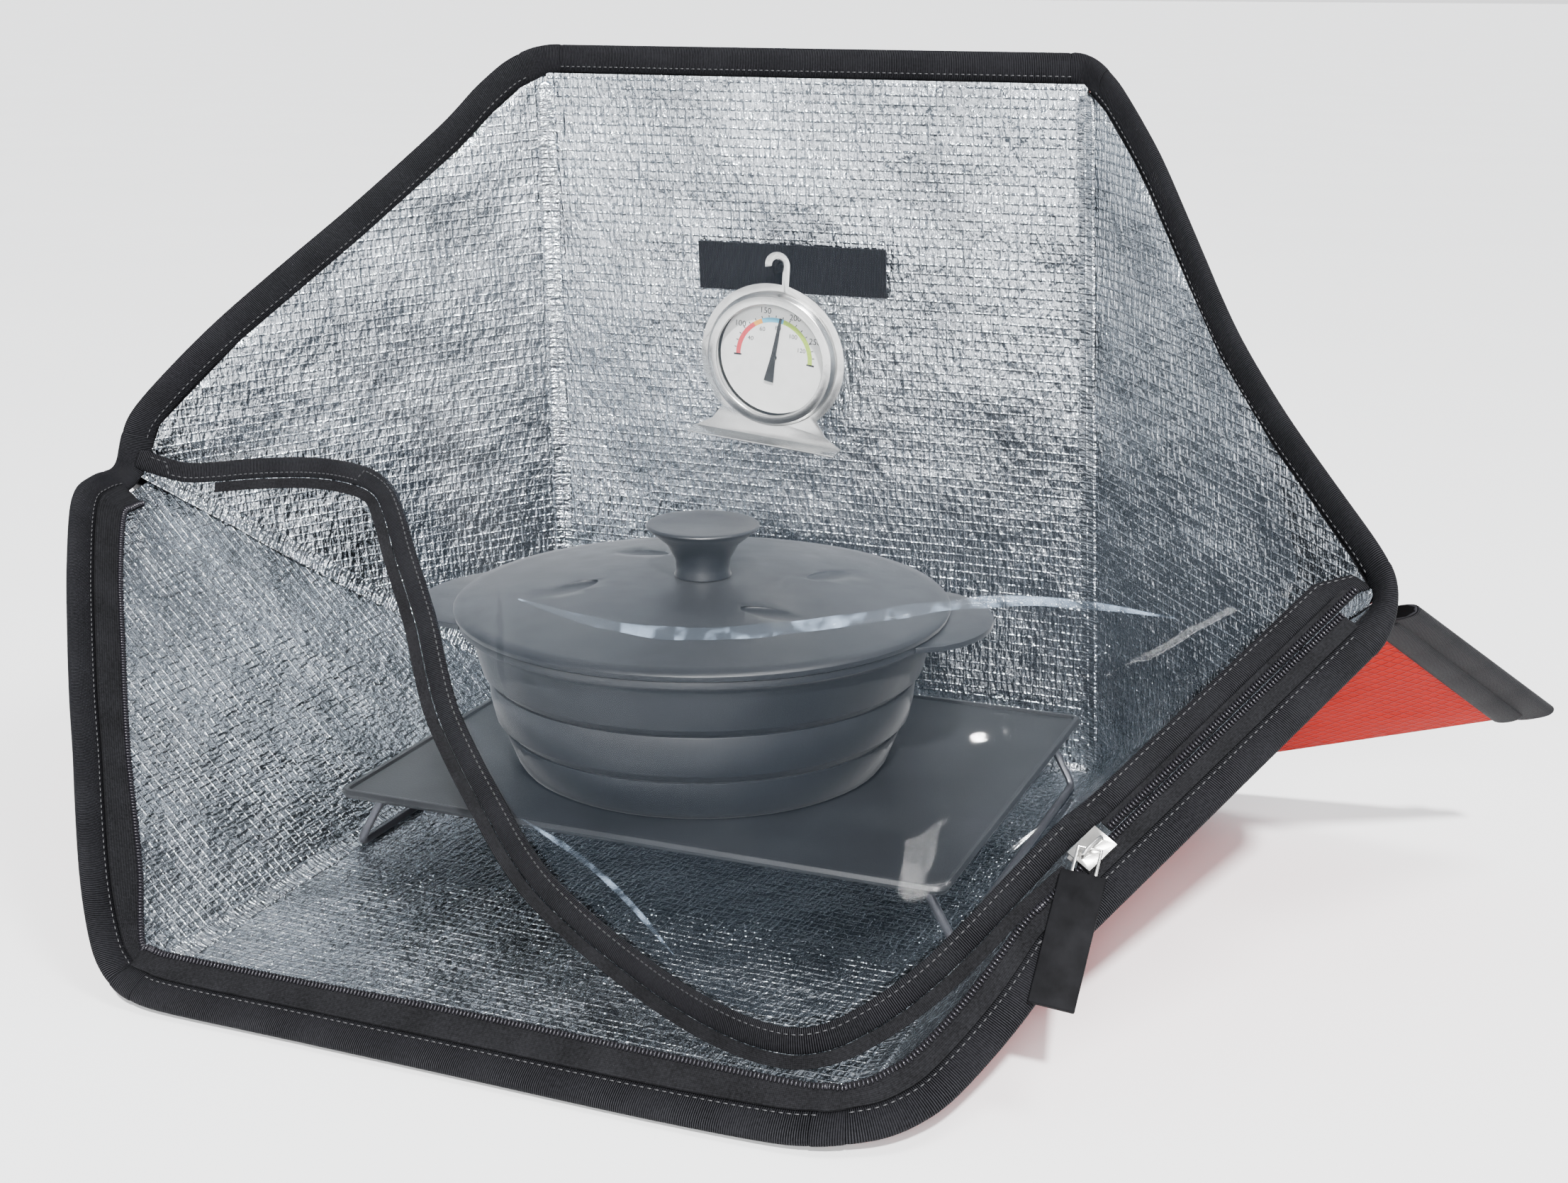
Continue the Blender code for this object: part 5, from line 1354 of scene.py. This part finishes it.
class Studio(bpy.types.Operator):
    """Pale floor, soft lights and the camera"""
    bl_idname = "solar_oven.studio"
    bl_label = "Studio"

    def execute(self, context):
        self.lay_floor(context.scene.oven.stage.ground)
        context.scene.world = self.soft_air()
        for light in LIGHTS:
            context.scene.collection.objects.link(self.lamp(*light))
        camera = self.photo_camera()
        context.scene.collection.objects.link(camera)
        context.scene.camera = camera
        return {"FINISHED"}

    @staticmethod
    def lay_floor(tone):
        only_select(None)
        bpy.ops.mesh.primitive_plane_add(size=400.0, location=(0.0, 0.0, -0.0002))
        ground = bpy.context.object
        ground.name = "studio_floor"
        paper = Finish("studio_paper", tone, 0.9)
        paper.tint(paper.noise(paper.spot(), 3.0), 0.99, 1.01)
        ground.data.materials.append(paper.material)

    @staticmethod
    def soft_air():
        """Air that is bright near the ground and darker above, for the foil to reflect."""
        world = bpy.data.worlds.new("studio_air")
        world.use_nodes = True
        tree = world.node_tree
        view = tree.nodes.new("ShaderNodeTexCoord")
        apart = tree.nodes.new("ShaderNodeSeparateXYZ")
        tree.links.new(view.outputs["Generated"], apart.inputs[0])
        sky = tree.nodes.new("ShaderNodeValToRGB")
        set_stops(sky.color_ramp, AIR)
        tree.links.new(apart.outputs[2], sky.inputs[0])
        tree.links.new(sky.outputs[0], tree.nodes["Background"].inputs[0])
        tree.nodes["Background"].inputs[1].default_value = 0.9
        return world

    @staticmethod
    def lamp(name, kind, place, size, power):
        """A light that looks at the middle of the oven."""
        light = bpy.data.objects.new(name, bpy.data.lights.new(name, kind))
        if kind == "SUN":
            light.data.angle = size
        else:
            light.data.size = size
        light.data.energy = power
        light.location = place
        aim = Vector(place) - Vector((0.0, 0.0, 0.1))
        light.rotation_euler = aim.to_track_quat("Z", "Y").to_euler()
        return light

    @staticmethod
    def photo_camera():
        """A camera at the photograph's place, turn, pitch and roll."""
        back = Vector((math.sin(CAMERA_TURN) * math.cos(CAMERA_PITCH),
                       -math.cos(CAMERA_TURN) * math.cos(CAMERA_PITCH), math.sin(CAMERA_PITCH)))
        right = Vector((math.cos(CAMERA_TURN), math.sin(CAMERA_TURN), 0.0))
        up = back.cross(right)
        across = right * math.cos(CAMERA_ROLL) + up * math.sin(CAMERA_ROLL)
        upward = up * math.cos(CAMERA_ROLL) - right * math.sin(CAMERA_ROLL)
        camera = bpy.data.objects.new("studio_camera", bpy.data.cameras.new("studio_camera"))
        camera.data.lens = CAMERA_LENS
        camera.data.sensor_width = 36.0
        camera.matrix_world = (Matrix.Translation(CAMERA_PLACE)
                               @ Matrix((across, upward, back)).transposed().to_4x4())
        return camera


class OvenLooks(bpy.types.PropertyGroup):
    shell: PointerProperty(type=ShellLooks)
    zips: PointerProperty(type=ZipLooks)
    window: PointerProperty(type=WindowLooks)
    cookware: PointerProperty(type=CookwareLooks)
    gauge: PointerProperty(type=GaugeLooks)
    stage: PointerProperty(type=StageLooks)


PIECES = (ShellPanels, ShellFolds, ShellEars, ShellEdges, ZipStretches, WindowSheet, ZipSlider,
          LabelStrip, Thermometer, Tray, CookingPot, Studio)
GROUPS = (ShellLooks, ZipLooks, WindowLooks, CookwareLooks, GaugeLooks, StageLooks, OvenLooks)


class OvenPanel(bpy.types.Panel):
    """Lists the pieces of the solar oven"""
    bl_idname = "VIEW3D_PT_solar_oven"
    bl_label = "Solar oven"
    bl_space_type = "VIEW_3D"
    bl_region_type = "UI"
    bl_category = "Solar oven"

    def draw(self, context):
        for piece in PIECES:
            self.layout.operator(piece.bl_idname)
        looks = context.scene.oven
        for name in OvenLooks.__annotations__:
            group = getattr(looks, name)
            for key in group.__annotations__:
                self.layout.prop(group, key)


def register():
    for kind in GROUPS + PIECES + (OvenPanel,):
        bpy.utils.register_class(kind)
    bpy.types.Scene.oven = PointerProperty(type=OvenLooks)


def unregister():
    del bpy.types.Scene.oven
    for kind in reversed(GROUPS + PIECES + (OvenPanel,)):
        bpy.utils.unregister_class(kind)


def main():
    register()
    make_finishes(bpy.context.scene.oven)
    calls = bpy.ops.solar_oven
    for step in (calls.panels, calls.folds, calls.ears, calls.edges, calls.zips, calls.window,
                 calls.slider, calls.label, calls.thermometer, calls.tray, calls.pot,
                 calls.studio):
        step()


if __name__ == "__main__":
    main()
